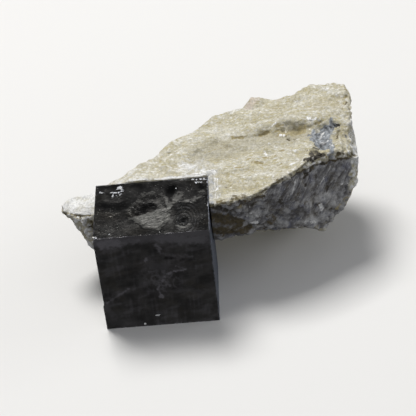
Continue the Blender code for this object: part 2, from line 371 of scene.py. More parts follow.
class Shading:
    """A node tree and short ways to add nodes to it; sizes are in millimetres."""

    def __init__(self, tree: Tree) -> None:
        """Keep the tree that nodes are added to."""
        self.tree = tree

    def node(self, kind: str, **settings: object) -> bpy.types.Node:
        """Add a node.

        Args:
            kind: Blender's name of the node's type.
            **settings: properties of the node.

        Returns:
            The new node.
        """
        added = self.tree.nodes.new(kind)
        for name, value in settings.items():
            setattr(added, name, value)
        return added

    def feed(self, target: Socket, value: object) -> None:
        """Give a socket a value, or join it to the socket that is given.

        Args:
            target: the socket that is fed.
            value: a plain value or another socket.
        """
        if isinstance(value, Socket):
            self.tree.links.new(value, target)
        else:
            target.default_value = value

    def place(self, stretch: Triple = EVEN, turn: Triple = LEVEL) -> Socket:
        """Return object coordinates for a pattern.

        Args:
            stretch: how many times longer the pattern is along its own X, Y and Z.
            turn: its turn about X, Y and Z, in degrees.

        Returns:
            The coordinates.
        """
        mapping = self.node("ShaderNodeMapping", vector_type="TEXTURE")
        mapping.inputs["Scale"].default_value = stretch
        mapping.inputs["Rotation"].default_value = [math.radians(angle) for angle in turn]
        self.feed(mapping.inputs["Vector"], self.node("ShaderNodeTexCoord").outputs["Object"])
        return mapping.outputs["Vector"]

    def noise(self, where: Socket, size: float, detail: float = 4.0, roughness: float = 0.55) -> Socket:
        """Add a noise pattern.

        Args:
            where: coordinates.
            size: distance between lumps.
            detail: number of finer layers.
            roughness: strength of the finer layers.

        Returns:
            A value from 0 to 1.
        """
        texture = self.node("ShaderNodeTexNoise")
        texture.inputs["Scale"].default_value = 1.0 / (size * MM)
        texture.inputs["Detail"].default_value = detail
        texture.inputs["Roughness"].default_value = roughness
        self.feed(texture.inputs["Vector"], where)
        return texture.outputs["Fac"]

    def mask(self, name: str) -> Socket:
        """Return a mask stored on the mesh."""
        return self.node("ShaderNodeAttribute", attribute_name=name).outputs["Fac"]

    def math(self, operation: str, *numbers: object) -> Socket:
        """Combine up to three numbers.

        Args:
            operation: Blender's name of what to do.
            *numbers: plain numbers or sockets.

        Returns:
            The outcome.
        """
        added = self.node("ShaderNodeMath", operation=operation)
        for socket, number in zip(added.inputs, numbers):
            self.feed(socket, number)
        return added.outputs[0]

    def times(self, first: object, second: object) -> Socket:
        """Multiply two numbers."""
        return self.math("MULTIPLY", first, second)

    def most(self, *numbers: object) -> Socket:
        """Find the largest of two or more numbers.

        Args:
            *numbers: plain numbers or sockets.

        Returns:
            The largest.
        """
        largest = numbers[0]
        for number in numbers[1:]:
            largest = self.math("MAXIMUM", largest, number)
        return largest

    def span(self, value: object, low: float, high: float, start: float = 0.0, end: float = 1.0) -> Socket:
        """Map low..high smoothly to start..end.

        Args:
            value: what is mapped.
            low: value that gives start.
            high: value that gives end.
            start: result at low and beyond.
            end: result at high and beyond.

        Returns:
            The mapped value.
        """
        added = self.node("ShaderNodeMapRange", interpolation_type="SMOOTHSTEP")
        self.feed(added.inputs["Value"], value)
        for name, number in (("From Min", low), ("From Max", high), ("To Min", start), ("To Max", end)):
            added.inputs[name].default_value = number
        return added.outputs["Result"]

    def ragged(self, name: str, pattern: Socket, share: float) -> Socket:
        """Return a mask whose soft border is broken up by a pattern."""
        shifted = self.math("MULTIPLY_ADD", pattern, share, -0.5 * share)
        return self.span(self.math("ADD", self.mask(name), shifted), *MASK_BORDER)

    def mix(self, share: object, first: object, second: object, blend: str = "MIX") -> Socket:
        """Mix two colours by a share; plain colours are given as three numbers.

        Args:
            share: how much of the second there is.
            first: a plain colour or a socket.
            second: a plain colour or a socket.
            blend: how they are combined.

        Returns:
            The mixed colour.
        """
        added = self.node("ShaderNodeMix", data_type="RGBA", blend_type=blend)
        self.feed(added.inputs[0], share)
        for socket, color in ((added.inputs[6], first), (added.inputs[7], second)):
            self.feed(socket, (*color, 1.0) if isinstance(color, tuple) else color)
        return added.outputs[2]

    def stain(
        self, color: object, tint: object, name: str, pattern: Socket, share: float = 0.7
    ) -> Socket:
        """Lay a tint where a mask is, with a ragged border.

        Args:
            color: what is there without it.
            tint: the stain's colour.
            name: the mask's name.
            pattern: what breaks up the border.
            share: how much the pattern moves it.

        Returns:
            The stained colour.
        """
        return self.mix(self.ragged(name, pattern, share), color, tint)

    def bump(self, height: object, depth: float, under: Socket | None = None) -> Socket:
        """Add a bump of a depth, over another bump if one is given.

        Args:
            height: pattern from 0 to 1.
            depth: height of its crests.
            under: normal of another bump.

        Returns:
            The bumped normal.
        """
        added = self.node("ShaderNodeBump")
        added.inputs["Distance"].default_value = depth * MM
        self.feed(added.inputs["Height"], height)
        if under is not None:
            self.feed(added.inputs["Normal"], under)
        return added.outputs["Normal"]


def mineral_grain_group() -> Tree:
    """Build the grain that marl, crumbs and pyrite share.

    Returns:
        A group that turns a fineness into speckle and relief values.
    """
    tree = bpy.data.node_groups.new("mineral_grain", "ShaderNodeTree")
    fineness = tree.interface.new_socket(name="Fineness", in_out="INPUT", socket_type="NodeSocketFloat")
    fineness.default_value = 4000.0
    for label in ("Speckle", "Relief"):
        tree.interface.new_socket(name=label, in_out="OUTPUT", socket_type="NodeSocketFloat")
    given = tree.nodes.new("NodeGroupInput")
    result = tree.nodes.new("NodeGroupOutput")
    shade = Shading(tree)
    where = shade.place()
    crumbs = shade.node("ShaderNodeTexVoronoi")
    shade.feed(crumbs.inputs["Vector"], where)
    shade.feed(crumbs.inputs["Scale"], given.outputs["Fineness"])
    tone = shade.node("ShaderNodeSeparateColor")
    shade.feed(tone.inputs["Color"], crumbs.outputs["Color"])
    lumps = shade.node("ShaderNodeTexNoise")
    lumps.inputs["Detail"].default_value = 5.0
    lumps.inputs["Roughness"].default_value = 0.65
    shade.feed(lumps.inputs["Vector"], where)
    shade.feed(lumps.inputs["Scale"], shade.math("MULTIPLY", given.outputs["Fineness"], 0.45))
    shade.feed(result.inputs["Speckle"], tone.outputs["Red"])
    shade.feed(result.inputs["Relief"], lumps.outputs["Fac"])
    return tree


def new_material(name: str) -> tuple[Material, Shading, bpy.types.Node]:
    """Start a material.

    Args:
        name: the material's name.

    Returns:
        The material, its shading helper and its Principled BSDF.
    """
    material = bpy.data.materials.new(name)
    material.use_nodes = True
    shader = material.node_tree.nodes["Principled BSDF"]
    return material, Shading(material.node_tree), shader


# ---------------------------------------------------------------- finishes


@dataclass(frozen=True)
class PyriteFinish:
    """Dark, tarnished metal with frosted and etched places.

    Attributes:
        dark: colour of the plain faces' darker clouds.
        light: colour of their lighter clouds.
        rust: brown tinge in the clouds.
        veil: pale purplish grey in a band near the top of the front face and on its rings and rays, and
            painted highlight along the edges.
        frost: colour where the surface is fibrous and pale, and of the painted glints.
        haze_and_sheen: bluish film on the top's rings, and a painted reflection on the right face, paler
            where the stone's shade falls.
        soot: colour of the pits and dark dots, and painted shade over dark patches of the top and its
            hollow.
        dust: bluish-white crusts of marl.
        fineness: grains to the metre.
    """

    dark: Triple = (0.064, 0.063, 0.061)
    light: Triple = (0.118, 0.115, 0.111)
    rust: Triple = (0.105, 0.095, 0.078)
    veil: Triple = (0.300, 0.292, 0.312)
    frost: Triple = (0.112, 0.112, 0.103)
    haze_and_sheen: Triple = (0.180, 0.205, 0.260)
    soot: Triple = (0.012, 0.012, 0.012)
    dust: Triple = (0.560, 0.575, 0.620)
    fineness: float = 5200.0

    def build(self, grain: Tree) -> Material:
        """Build the material, which reads the crystal's masks.

        Args:
            grain: the shared mineral grain.

        Returns:
            The material.
        """
        material, shade, shader = new_material("pyrite")
        where = shade.place()
        grains = shade.node("ShaderNodeGroup", node_tree=grain)
        grains.inputs["Fineness"].default_value = self.fineness
        speckle, relief = grains.outputs["Speckle"], grains.outputs["Relief"]
        clouds = shade.noise(where, 2.6, detail=6.0, roughness=0.62)
        tinge = shade.noise(shade.place((1.6, 1.0, 1.0)), 3.4, detail=3.0)
        color = shade.mix(shade.span(clouds, 0.34, 0.68), self.dark, self.light)
        color = shade.mix(shade.span(tinge, 0.50, 0.72, 0.0, 0.5), color, self.rust)
        # Pale purplish grey near the top of the front face and on its rings and rays, and painted highlight
        # along the edges.
        color = shade.mix(shade.mask("veil"), color, self.veil)
        # Bluish film: a painted reflection on the right face, and a tint on the top's rings.
        haze_and_sheen = shade.times(shade.mask("haze_and_sheen"), shade.span(relief, 0.34, 0.60, 0.45, 1.0))
        color = shade.mix(haze_and_sheen, color, self.haze_and_sheen)
        strands = shade.noise(shade.place((5.0, 1.0, 1.0), FIBRES), 0.24, detail=5.0, roughness=0.7)
        fibrous = shade.times(shade.mask("frost"), shade.span(strands, 0.34, 0.62, 0.30, 1.10))
        # Painted glints: tiny pale, matte specks in the fibres' colour, bright whatever the light.
        glints = shade.times(shade.mask("etch"), shade.span(speckle, 0.92, 1.0, 0.0, 0.55))
        frost = shade.most(fibrous, glints)
        color = shade.mix(frost, color, self.frost)
        dots = shade.times(shade.mask("etch"), shade.span(speckle, 0.22, 0.08, 0.0, 0.7))
        # Dark pits and dots, and painted shade over dark patches of the top and its hollow.
        color = shade.mix(shade.most(dots, shade.mask("pit")), color, self.soot)
        crust = shade.ragged("dust", shade.noise(shade.place((1.8, 1.0, 1.0)), 0.20, detail=3.0), 0.9)
        color = shade.mix(crust, color, self.dust)
        matte_share = shade.most(frost, haze_and_sheen, crust)
        shade.feed(shader.inputs["Base Color"], color)
        shade.feed(shader.inputs["Metallic"], shade.span(matte_share, 0.0, 1.0, 1.0, 0.2))
        shader.inputs["Specular IOR Level"].default_value = 0.25
        rough = shade.span(clouds, 0.3, 0.7, 0.17, 0.23)
        shade.feed(shader.inputs["Roughness"], shade.math("MULTIPLY_ADD", matte_share, 0.34, rough))
        fine = shade.bump(relief, 0.004)
        shade.feed(shader.inputs["Normal"], shade.bump(shade.noise(where, 1.3, detail=4.0), 0.012, fine))
        return material


@dataclass(frozen=True)
class MarlFinish:
    """Dry marl: tan where weathered, grey where freshly broken.

    Attributes:
        tan: the weathered skin.
        cream: its paler parts.
        straw: its yellow flecks.
        ochre: its rusty parts, and painted shade under the brink, along the scarp and in the gully at the
            right end.
        gray: the fresh break.
        ash: pale grey of the break's streaks and patches and of the halo by the crystal, and painted light
            on the break's crests.
        soot: painted shade in hollows, recesses and the notch under the brink, and the dark streaks of the
            break.
        earth: brown stains and lumps, and painted shade under the brink and in hollows of the tip's
            underside and the broad end.
        cool: bluish parts of the fresh break.
        chalk: the white rim round the crystal and other white places, and painted light on crests of the
            skin, the vein, the tip's underside and the broad end.
        slate: the blue-grey broken vein.
        blush: the pinkish knob on the back edge.
        dun: the duller parts of the skin.
        fineness: grains to the metre.
    """

    tan: Triple = (0.430, 0.400, 0.292)
    cream: Triple = (0.545, 0.522, 0.438)
    straw: Triple = (0.400, 0.352, 0.186)
    ochre: Triple = (0.350, 0.300, 0.170)
    gray: Triple = (0.190, 0.187, 0.190)
    ash: Triple = (0.460, 0.458, 0.452)
    soot: Triple = (0.070, 0.062, 0.050)
    earth: Triple = (0.112, 0.091, 0.054)
    cool: Triple = (0.166, 0.173, 0.218)
    chalk: Triple = (0.760, 0.760, 0.745)
    slate: Triple = (0.310, 0.333, 0.358)
    blush: Triple = (0.560, 0.485, 0.420)
    dun: Triple = (0.370, 0.345, 0.265)
    fineness: float = 4200.0

    def build(self, grain: Tree) -> Material:
        """Build the material, which reads the stone's masks.

        Args:
            grain: the shared mineral grain.

        Returns:
            The material.
        """
        material, shade, shader = new_material("marl")
        where = shade.place()
        grains = shade.node("ShaderNodeGroup", node_tree=grain)
        grains.inputs["Fineness"].default_value = self.fineness
        patches = shade.noise(where, 0.9, detail=5.0, roughness=0.65)
        color = self.weathered(shade, where)
        color = shade.mix(shade.mask("dull"), color, self.dun)
        color = shade.stain(color, self.broken(shade, where), "fresh", patches)
        ash = shade.times(shade.mask("ash"), shade.span(patches, 0.36, 0.60, 0.25, 1.0))
        ash = shade.times(ash, shade.span(shade.mask("hollow"), 0.0, 1.0, 1.0, 0.25))
        color = shade.mix(ash, color, self.ash)
        color = shade.stain(color, self.blush, "blush", patches, 0.5)
        # These stains are partly painted shade: brown and rusty under the brink, along the scarp and in
        # hollows, and dark in the notch and other recesses.
        color = shade.stain(color, self.earth, "earth", patches, 1.3)
        color = shade.stain(color, self.ochre, "ochre", patches)
        color = shade.stain(color, self.soot, "soot", patches)
        # In the vein, painted light on the crests and painted shade in the hollows.
        vein = shade.mix(shade.times(shade.mask("crest"), 0.75), self.slate, self.chalk)
        vein = shade.mix(shade.times(shade.mask("hollow"), 0.60), vein, self.soot)
        color = shade.stain(color, vein, "slate", patches, 0.9)
        # White places, and painted light on crests of the tip's underside and the broad end.
        color = shade.stain(color, self.chalk, "chalk", patches, 0.9)
        tone = shade.span(grains.outputs["Speckle"], 0.0, 1.0, 0.82, 1.12)
        tones = shade.node("ShaderNodeCombineColor")
        for channel in ("Red", "Green", "Blue"):
            shade.feed(tones.inputs[channel], tone)
        color = shade.mix(1.0, color, tones.outputs["Color"], "MULTIPLY")
        shade.feed(shader.inputs["Base Color"], color)
        shader.inputs["Roughness"].default_value = 0.9
        shader.inputs["Specular IOR Level"].default_value = 0.25
        fine = shade.bump(grains.outputs["Relief"], 0.07)
        lines = shade.noise(shade.place((5.0, 1.0, 1.0), BEDDING), 0.30)
        shade.feed(shader.inputs["Normal"], shade.bump(lines, 0.10, fine))
        return material

    def weathered(self, shade: Shading, where: Socket) -> Socket:
        """Colour the tan skin, with fine lines along the bedding.

        Args:
            shade: where nodes are added.
            where: coordinates.

        Returns:
            The colour.
        """
        patches = shade.noise(where, 5.0, detail=6.0, roughness=0.65)
        color = shade.mix(shade.span(patches, 0.40, 0.62, 0.20, 0.70), self.tan, self.cream)
        for size, share, length in ((1.30, 0.40, 4.0), (0.40, 0.80, 1.9)):
            flecks = shade.noise(shade.place((length, 1.1, 1.0), BEDDING), size, roughness=0.6)
            color = shade.mix(shade.span(flecks, 0.52, 0.68, 0.0, share), color, self.straw)
            color = shade.mix(shade.span(flecks, 0.47, 0.32, 0.0, share), color, self.chalk)
        # Painted shade in the hollows, painted light on the crests.
        return self.worn(shade, color, (self.ochre, 0.35), (self.chalk, 0.30))

    def broken(self, shade: Shading, where: Socket) -> Socket:
        """Colour the grey break, with slanting pale and dark streaks.

        Args:
            shade: where nodes are added.
            where: coordinates.

        Returns:
            The colour.
        """
        lumps = shade.noise(where, 1.8, detail=6.0, roughness=0.65)
        color = shade.mix(shade.span(lumps, 0.50, 0.68, 0.0, 0.85), self.gray, self.earth)
        color = shade.mix(shade.span(lumps, 0.50, 0.34, 0.0, 0.85), color, self.cool)
        streaks = shade.noise(shade.place((1.0, 1.0, 7.0), STREAKS), 0.26, detail=5.0, roughness=0.6)
        color = shade.mix(shade.span(streaks, 0.52, 0.68, 0.0, 0.65), color, self.ash)
        color = shade.mix(shade.span(streaks, 0.46, 0.34, 0.0, 0.45), color, self.soot)
        # Painted shade in the hollows, painted light on the crests.
        return self.worn(shade, color, (self.soot, 0.60), (self.ash, 0.75))

    def worn(
        self, shade: Shading, color: object, hollow: tuple[Triple, float], crest: tuple[Triple, float]
    ) -> Socket:
        """Lay painted shade in the skin's hollows and then painted light on its crests, which are partly
        real pale fibres.

        Args:
            shade: where nodes are added.
            color: what is there without it.
            hollow: colour of the painted shade in the hollows, and its share.
            crest: colour of the painted light on the crests, and its share.

        Returns:
            The tinted colour.
        """
        for name, (tint, share) in (("hollow", hollow), ("crest", crest)):
            color = shade.mix(shade.times(shade.mask(name), share), color, tint)
        return color


@dataclass(frozen=True)
class FloorFinish:
    """A plain pale, matte table top."""

    color: Triple = (0.72, 0.715, 0.70)
    roughness: float = 0.8

    def build(self) -> Material:
        """Build the material.

        Returns:
            The material.
        """
        material, _, shader = new_material("table_top")
        shader.inputs["Base Color"].default_value = (*self.color, 1.0)
        shader.inputs["Roughness"].default_value = self.roughness
        return material


# ---------------------------------------------------------------- marks


class Tint(Enum):
    """What a mark lays on a surface; its value names the mask."""

    PLAIN = ""
    CHALK = "chalk"
    EARTH = "earth"
    OCHRE = "ochre"
    SOOT = "soot"
    SLATE = "slate"
    BLUSH = "blush"
    ASH = "ash"
    DULL = "dull"
    FROST = "frost"
    PIT = "pit"
    VEIL = "veil"
    DUST = "dust"


@dataclass(frozen=True)
class Mark:
    """A place or line on a surface that stands out.

    Attributes:
        path: the line that it follows; a single point stands for a spot.
        reach: its half width.
        height: how far it is raised, or sunk if negative.
        tint: what it lays on the surface.
        strength: share of the tint.
    """

    path: Outline
    reach: float
    height: float
    tint: Tint
    strength: float

    def share(self, flat: Points, wander: Values, breaks: Values) -> Values:
        """Work out how much of the mark each place gets.

        Args:
            flat: places, seen square on to the marked side.
            wander: how far its border strays.
            breaks: 1 where a narrow mark is whole and 0 where it has a gap.

        Returns:
            1 in the middle of the mark, less towards its border and in its gaps.
        """
        gap = path_distance(flat, self.path) + wander * min(0.8 * self.reach, 0.5)
        slender = ramp(np.full(len(flat), self.reach), 1.3, 0.5)
        return ramp(gap, self.reach, 0.25 * self.reach) * (1.0 - 0.7 * slender * (1.0 - breaks))


def laid(tint: Tint, *rows: tuple[Outline, float, float, float]) -> tuple[Mark, ...]:
    """Lay marks of one kind.

    Args:
        tint: what they lay on the surface.
        *rows: each mark's path, reach, height and strength.

    Returns:
        The marks.
    """
    return tuple(Mark(path, reach, height, tint, strength) for path, reach, height, strength in rows)


# ---------------------------------------------------------------- the crystal


class Face(Enum):
    """A face of the crystal: its normal's axis and side."""

    TOP = (2, 1.0)
    BOTTOM = (2, -1.0)
    FRONT = (1, -1.0)
    BACK = (1, 1.0)
    RIGHT = (0, 1.0)
    LEFT = (0, -1.0)

    @property
    def axis(self) -> int:
        """Number of the axis that the face looks along."""
        return self.value[0]

    @property
    def side(self) -> float:
        """Side of the crystal that the face is on."""
        return self.value[1]


# Rows of marks give each one's path, reach, height and strength.  A path holds X and Y
# on an upper face, and X and Z on a front one.

CRYSTAL_TOP = (
    # These marks sink real pits; some also lay painted shade over dark patches of the top and the upper
    # slope of its hollow.
    *laid(
        Tint.PIT,
        (((3.45, 4.0), (3.65, 5.1)), 1.5, -0.05, 1.0),
        (((-1.6, 0.0), (-0.3, 0.9)), 1.75, -0.03, 1.0),
        (((-2.3, 1.6), (-0.6, 3.2), (1.2, 3.0)), 1.3, 0.0, 0.56),
        (((-2.5, -1.2),), 0.85, -0.04, 1.0),
        (((-7.8, 1.6), (-5.4, 1.0)), 1.9, -0.02, 0.69),
        (((-5.4, -0.5), (-4.7, -0.1)), 0.75, -0.02, 0.62),
        (((8.8, 5.0), (9.4, 4.6)), 1.1, -0.03, 0.75),
        (((5.4, 0.4), (7.0, -0.1)), 0.9, -0.02, 0.56),
        (((-8.6, 7.2), (-2.0, 6.6)), 1.3, 0.0, 0.5),
        (((5.6, -4.2), (5.7, -3.7)), 0.8, -0.01, 0.94),
    ),
    *laid(
        Tint.FROST,
        (((-3.7, -1.4), (-3.7, 0.4), (-2.3, 2.3), (-1.3, 3.9), (0.4, 4.3)), 0.6, 0.01, 0.45),
        (((1.6, 3.6), (2.6, 2.4), (2.9, 0.8), (2.8, -0.4)), 0.45, 0.01, 0.5),
        (((1.2, 2.0), (1.9, -0.2)), 0.95, 0.0, 0.22),
        (((2.9, -0.9), (3.2, 0.2), (4.0, 1.5)), 0.6, 0.02, 0.88),
        (((4.3, 2.0), (4.7, 3.2)), 1.2, 0.03, 0.6),
        (((5.8, 1.1), (7.4, 1.4), (8.7, 3.0), (9.8, 4.2)), 0.55, 0.015, 0.57),
        (((7.0, 0.8), (8.4, 1.9), (9.8, 3.3)), 0.45, 0.01, 0.43),
        (((-7.3, -1.4), (-4.6, 0.1)), 0.5, 0.03, 0.19),
        (((-8.3, 4.3), (-7.9, 3.1)), 0.9, 0.0, 0.22),
        (((3.3, -1.6), (3.5, -4.4), (2.9, -7.2)), 1.15, 0.0, 0.26),
        (((-7.0, -4.6), (-3.4, -5.4)), 3.0, 0.0, 0.15),
        (((4.4, -5.4), (5.2, -6.2), (6.1, -6.2), (6.7, -5.5)), 0.34, 0.015, 0.74),
        (((5.0, 7.3), (7.4, 6.9)), 0.35, 0.02, 0.61),
        (((8.0, 6.6), (9.6, 6.9)), 0.7, 0.02, 0.47),
        (((-9.9, 7.5), (-7.4, 7.4)), 0.3, 0.0, 1.0),
    ),
    *laid(
        Tint.DUST,
        (((-9.2, 5.3), (-8.5, 5.3)), 0.36, 0.01, 0.62),
        (((-6.0, 6.0), (-5.6, 6.6), (-5.3, 5.9)), 0.5, 0.02, 0.72),
        (((-7.3, 5.1), (-6.2, 5.0), (-5.3, 5.2)), 0.34, 0.02, 0.72),
        (((-6.9, 4.8), (-6.9, 3.6)), 0.36, 0.01, 0.6),
        (((-5.5, 4.7), (-5.6, 3.8)), 0.36, 0.01, 0.6),
        (((-6.2, 4.4), (-6.1, 4.0)), 0.28, 0.0, 0.5),
        (((5.2, 7.4), (6.6, 7.3)), 0.18, 0.0, 0.6),
        (((6.9, 7.1), (7.9, 6.9)), 0.26, 0.01, 0.7),
        (((7.9, 6.0), (8.7, 6.2)), 0.32, 0.01, 0.8),
        (((8.5, 6.8), (9.7, 6.8)), 0.36, 0.01, 0.65),
        (((9.8, 6.2), (9.8, 4.6)), 0.26, 0.0, 0.55),
        (((9.8, 0.0), (9.9, -1.6)), 0.18, 0.0, 0.5),
        (((-9.9, -7.1), (-9.4, -7.3)), 0.4, 0.0, 0.6),
    ),
)

CRYSTAL_FRONT = (
    *laid(
        Tint.VEIL,
        (((-8.8, 19.5), (-6.2, 19.5)), 1.6, 0.0, 1.0),
        (((-9.8, 20.2), (9.8, 20.3)), 1.9, 0.0, 0.55),
        (((-5.6, 19.6), (-2.4, 19.7)), 1.0, 0.0, 0.75),
        (((1.0, 20.0), (4.6, 19.3), (8.8, 18.8)), 1.6, 0.0, 0.72),
        (((0.5, 18.5), (1.1, 17.5), (1.2, 16.8)), 0.42, 0.03, 0.85),
        (((1.2, 16.5), (3.0, 15.9), (4.6, 15.4), (6.4, 15.2)), 0.5, 0.02, 0.38),
        (((-1.5, 15.6), (-1.6, 14.9)), 0.31, 0.02, 0.93),
        (((-1.2, 15.0), (-0.4, 13.6), (1.6, 13.6)), 1.6, 0.0, 0.26),
        (((3.4, 13.4), (4.5, 12.8), (5.0, 12.4)), 0.24, 0.02, 0.85),
        (((1.7, 11.7), (3.2, 12.2), (5.0, 12.4)), 0.26, 0.03, 1.0),
        (((-1.3, 12.5), (0.4, 12.6)), 0.24, 0.02, 0.62),
        (((1.3, 11.2), (0.9, 10.3), (0.3, 9.4), (-0.1, 8.6)), 0.29, 0.03, 1.0),
        (((-0.1, 8.6), (0.1, 7.4), (0.5, 6.3)), 0.42, 0.03, 1.5),
        (((0.2, 9.8), (0.9, 8.1)), 0.24, 0.02, 0.7),
        (((1.2, 10.0), (2.3, 8.5)), 0.24, 0.02, 0.6),
        (((0.4, 9.3), (1.3, 8.9), (1.5, 9.8), (0.9, 10.3)), 0.24, 0.02, 0.7),
        (((0.4, 8.5), (1.3, 7.6)), 0.24, 0.02, 0.6),
        (((1.6, 7.8), (5.6, 7.5), (9.4, 7.3)), 0.7, 0.0, 0.16),
        (((-5.2, 9.0), (-7.0, 7.8), (-8.3, 7.0), (-9.5, 6.1)), 0.29, 0.03, 0.85),
        (((-9.8, 6.2), (-9.0, 3.4)), 1.0, 0.0, 0.3),
        (((-9.0, 1.6), (-4.0, 0.8)), 1.2, 0.0, 0.14),
    ),
    *laid(
        Tint.PIT,
        (((-1.6, 18.4), (-0.2, 17.2)), 1.3, -0.03, 0.3),
        (((2.0, 15.3), (3.4, 15.0)), 0.42, -0.04, 0.63),
        (((4.6, 14.8), (6.9, 14.4)), 0.42, -0.04, 0.57),
        (((-0.25, 10.9),), 0.5, -0.03, 0.38),
        (((1.1, 8.8),), 0.28, -0.02, 0.45),
        (((-9.2, 8.0), (-7.0, 6.6)), 0.6, 0.0, 0.3),
    ),
)


@dataclass
class Crystal:
    """The pyrite crystal: a squat cuboid with a hollowed top.

    Attributes:
        node: the solid that it stands for.
        size: width, depth and height.
        cuts: how often each face is divided, in two passes.
        flush: how near a face or an edge a vertex lies that belongs to it.
        calm: how far from the edges the faces' relief starts.
        nibble: how far the edges are worn back.
        bite: how far they are worn back in a few places.
        chip: how far the top's front left corner is broken off.
        crust_depth: height of the fine grain on the top.
        fibre_depth: height of the fibres in the hollow.
        treads: height of the low steps on the top, on the front and on the other faces.
        dish: outline of the hollow in the top.
        dish_wall: width of the hollow's sloping wall.
        dish_floor: (Y, height) along the hollow's bottom, from the front.
        lens: outline of the pale fibrous part of the hollow.
        ring: middle of the rings on the top.
        ring_pitch: distance from ring to ring.
        ring_depth: height of the rings.
        front_ring: (X, Z) of the low ring on the front.
        front_ring_radius: its radius.
        seam: height of the front's slanting seam at the left edge, and its slope.
        block_height: top of the block that stands proud on the left.
        block_proud: how far it stands proud.
        masks: what the finish reads, by name.
    """

    node: str = "pyrite_cube"
    size: Triple = (20.0, 15.0, 20.8)
    cuts: tuple[int, int] = (15, 7)
    flush: float = 0.001
    calm: float = 0.5
    nibble: float = 0.02
    bite: float = 0.20
    chip: float = 0.30
    crust_depth: float = 0.010
    fibre_depth: float = 0.035
    treads: Triple = (0.02, 0.05, 0.09)
    dish: Outline = (
        (-4.3, -2.2), (-4.1, -0.6), (-3.4, 1.0), (-2.2, 3.4), (-1.2, 4.7), (0.6, 4.8), (1.9, 3.9),
        (3.0, 2.4), (3.5, 0.6), (3.5, -1.8), (2.9, -4.6), (1.4, -6.6), (-1.3, -5.8), (-3.0, -3.6),
    )
    dish_wall: float = 1.1
    dish_floor: Outline = (
        (-6.4, -0.34), (-3.0, -0.26), (-0.6, -0.20), (0.6, -0.14), (2.4, -0.05), (4.0, 0.0),
    )
    lens: Outline = (
        (-4.2, -2.1), (-3.0, -1.9), (-1.9, -1.3), (-0.5, -0.9), (0.8, -0.6), (2.0, -0.1), (3.4, 0.4),
        (3.5, -1.0), (3.4, -2.6), (3.0, -4.0), (2.4, -5.3), (1.4, -6.5), (0.2, -6.2), (-1.3, -5.6),
        (-1.9, -4.6), (-3.0, -3.4), (-3.9, -2.9),
    )
    ring: tuple[float, float] = (5.6, -4.1)
    ring_pitch: float = 0.86
    ring_depth: float = 0.012
    front_ring: tuple[float, float] = (-0.25, 10.9)
    front_ring_radius: float = 0.78
    seam: tuple[float, float] = (5.9, 0.72)
    block_height: float = 5.6
    block_proud: float = 0.18
    masks: dict[str, Values] = field(default_factory=dict)

    def blank(self) -> Piece:
        """Make a finely divided cuboid of the crystal's size.

        Returns:
            The cuboid, standing on the origin.
        """
        bpy.ops.mesh.primitive_cube_add(size=1.0, location=(0.0, 0.0, self.size[2] / 2.0 * MM))
        piece = bpy.context.object
        piece.name = piece.data.name = "pyrite_crystal"
        piece.scale = [side * MM for side in self.size]
        bpy.ops.object.transform_apply(location=True, rotation=False, scale=True)
        in_edit_mode(piece)
        for number in self.cuts:
            bpy.ops.mesh.subdivide(number_cuts=number)
        bpy.ops.object.mode_set(mode="OBJECT")
        return piece

    @property
    def centre(self) -> Values:
        """Middle of the crystal."""
        return np.array((0.0, 0.0, self.size[2] / 2.0))

    def from_faces(self, points: Points) -> Points:
        """Return how deep each point lies behind the faces along X, Y and Z."""
        return np.array(self.size) / 2.0 - np.abs(points - self.centre)

    def on_face(self, points: Points, face: Face) -> Values:
        """Return which points lie on a face, its edges included."""
        flat = self.from_faces(points)[:, face.axis] < self.flush
        return flat & ((points - self.centre)[:, face.axis] * face.side > 0.0)

    def keep(self, name: str, face: Face, points: Points, values: Values) -> None:
        """Store a mask for one face's vertices, over what other faces stored.

        Args:
            name: the mask's name.
            face: which face.
            points: vertices of the blank.
            values: a number for each vertex.
        """
        stored = self.masks.setdefault(name, np.zeros(len(points)))
        here = self.on_face(points, face)
        stored[here] = np.maximum(stored[here], values[here])

    def lay_marks(self, marks: tuple[Mark, ...], face: Face, points: Points) -> Values:
        """Store the marks of one face and add up their heights.

        Args:
            marks: the marks.
            face: which face.
            points: vertices of the blank.

        Returns:
            Height over the face's plane.
        """
        wander = Grain(0.9, 5).layered(points, 4, 0.75)
        breaks = ramp(Grain(0.7, 15).layered(points, 3, 0.8), -0.50, 0.10)
        flat = np.delete(points, face.axis, axis=1)
        height = np.zeros(len(points))
        for mark in marks:
            share = mark.share(flat, wander, breaks)
            height += mark.height * share
            self.keep(mark.tint.value, face, points, mark.strength * share)
        return height

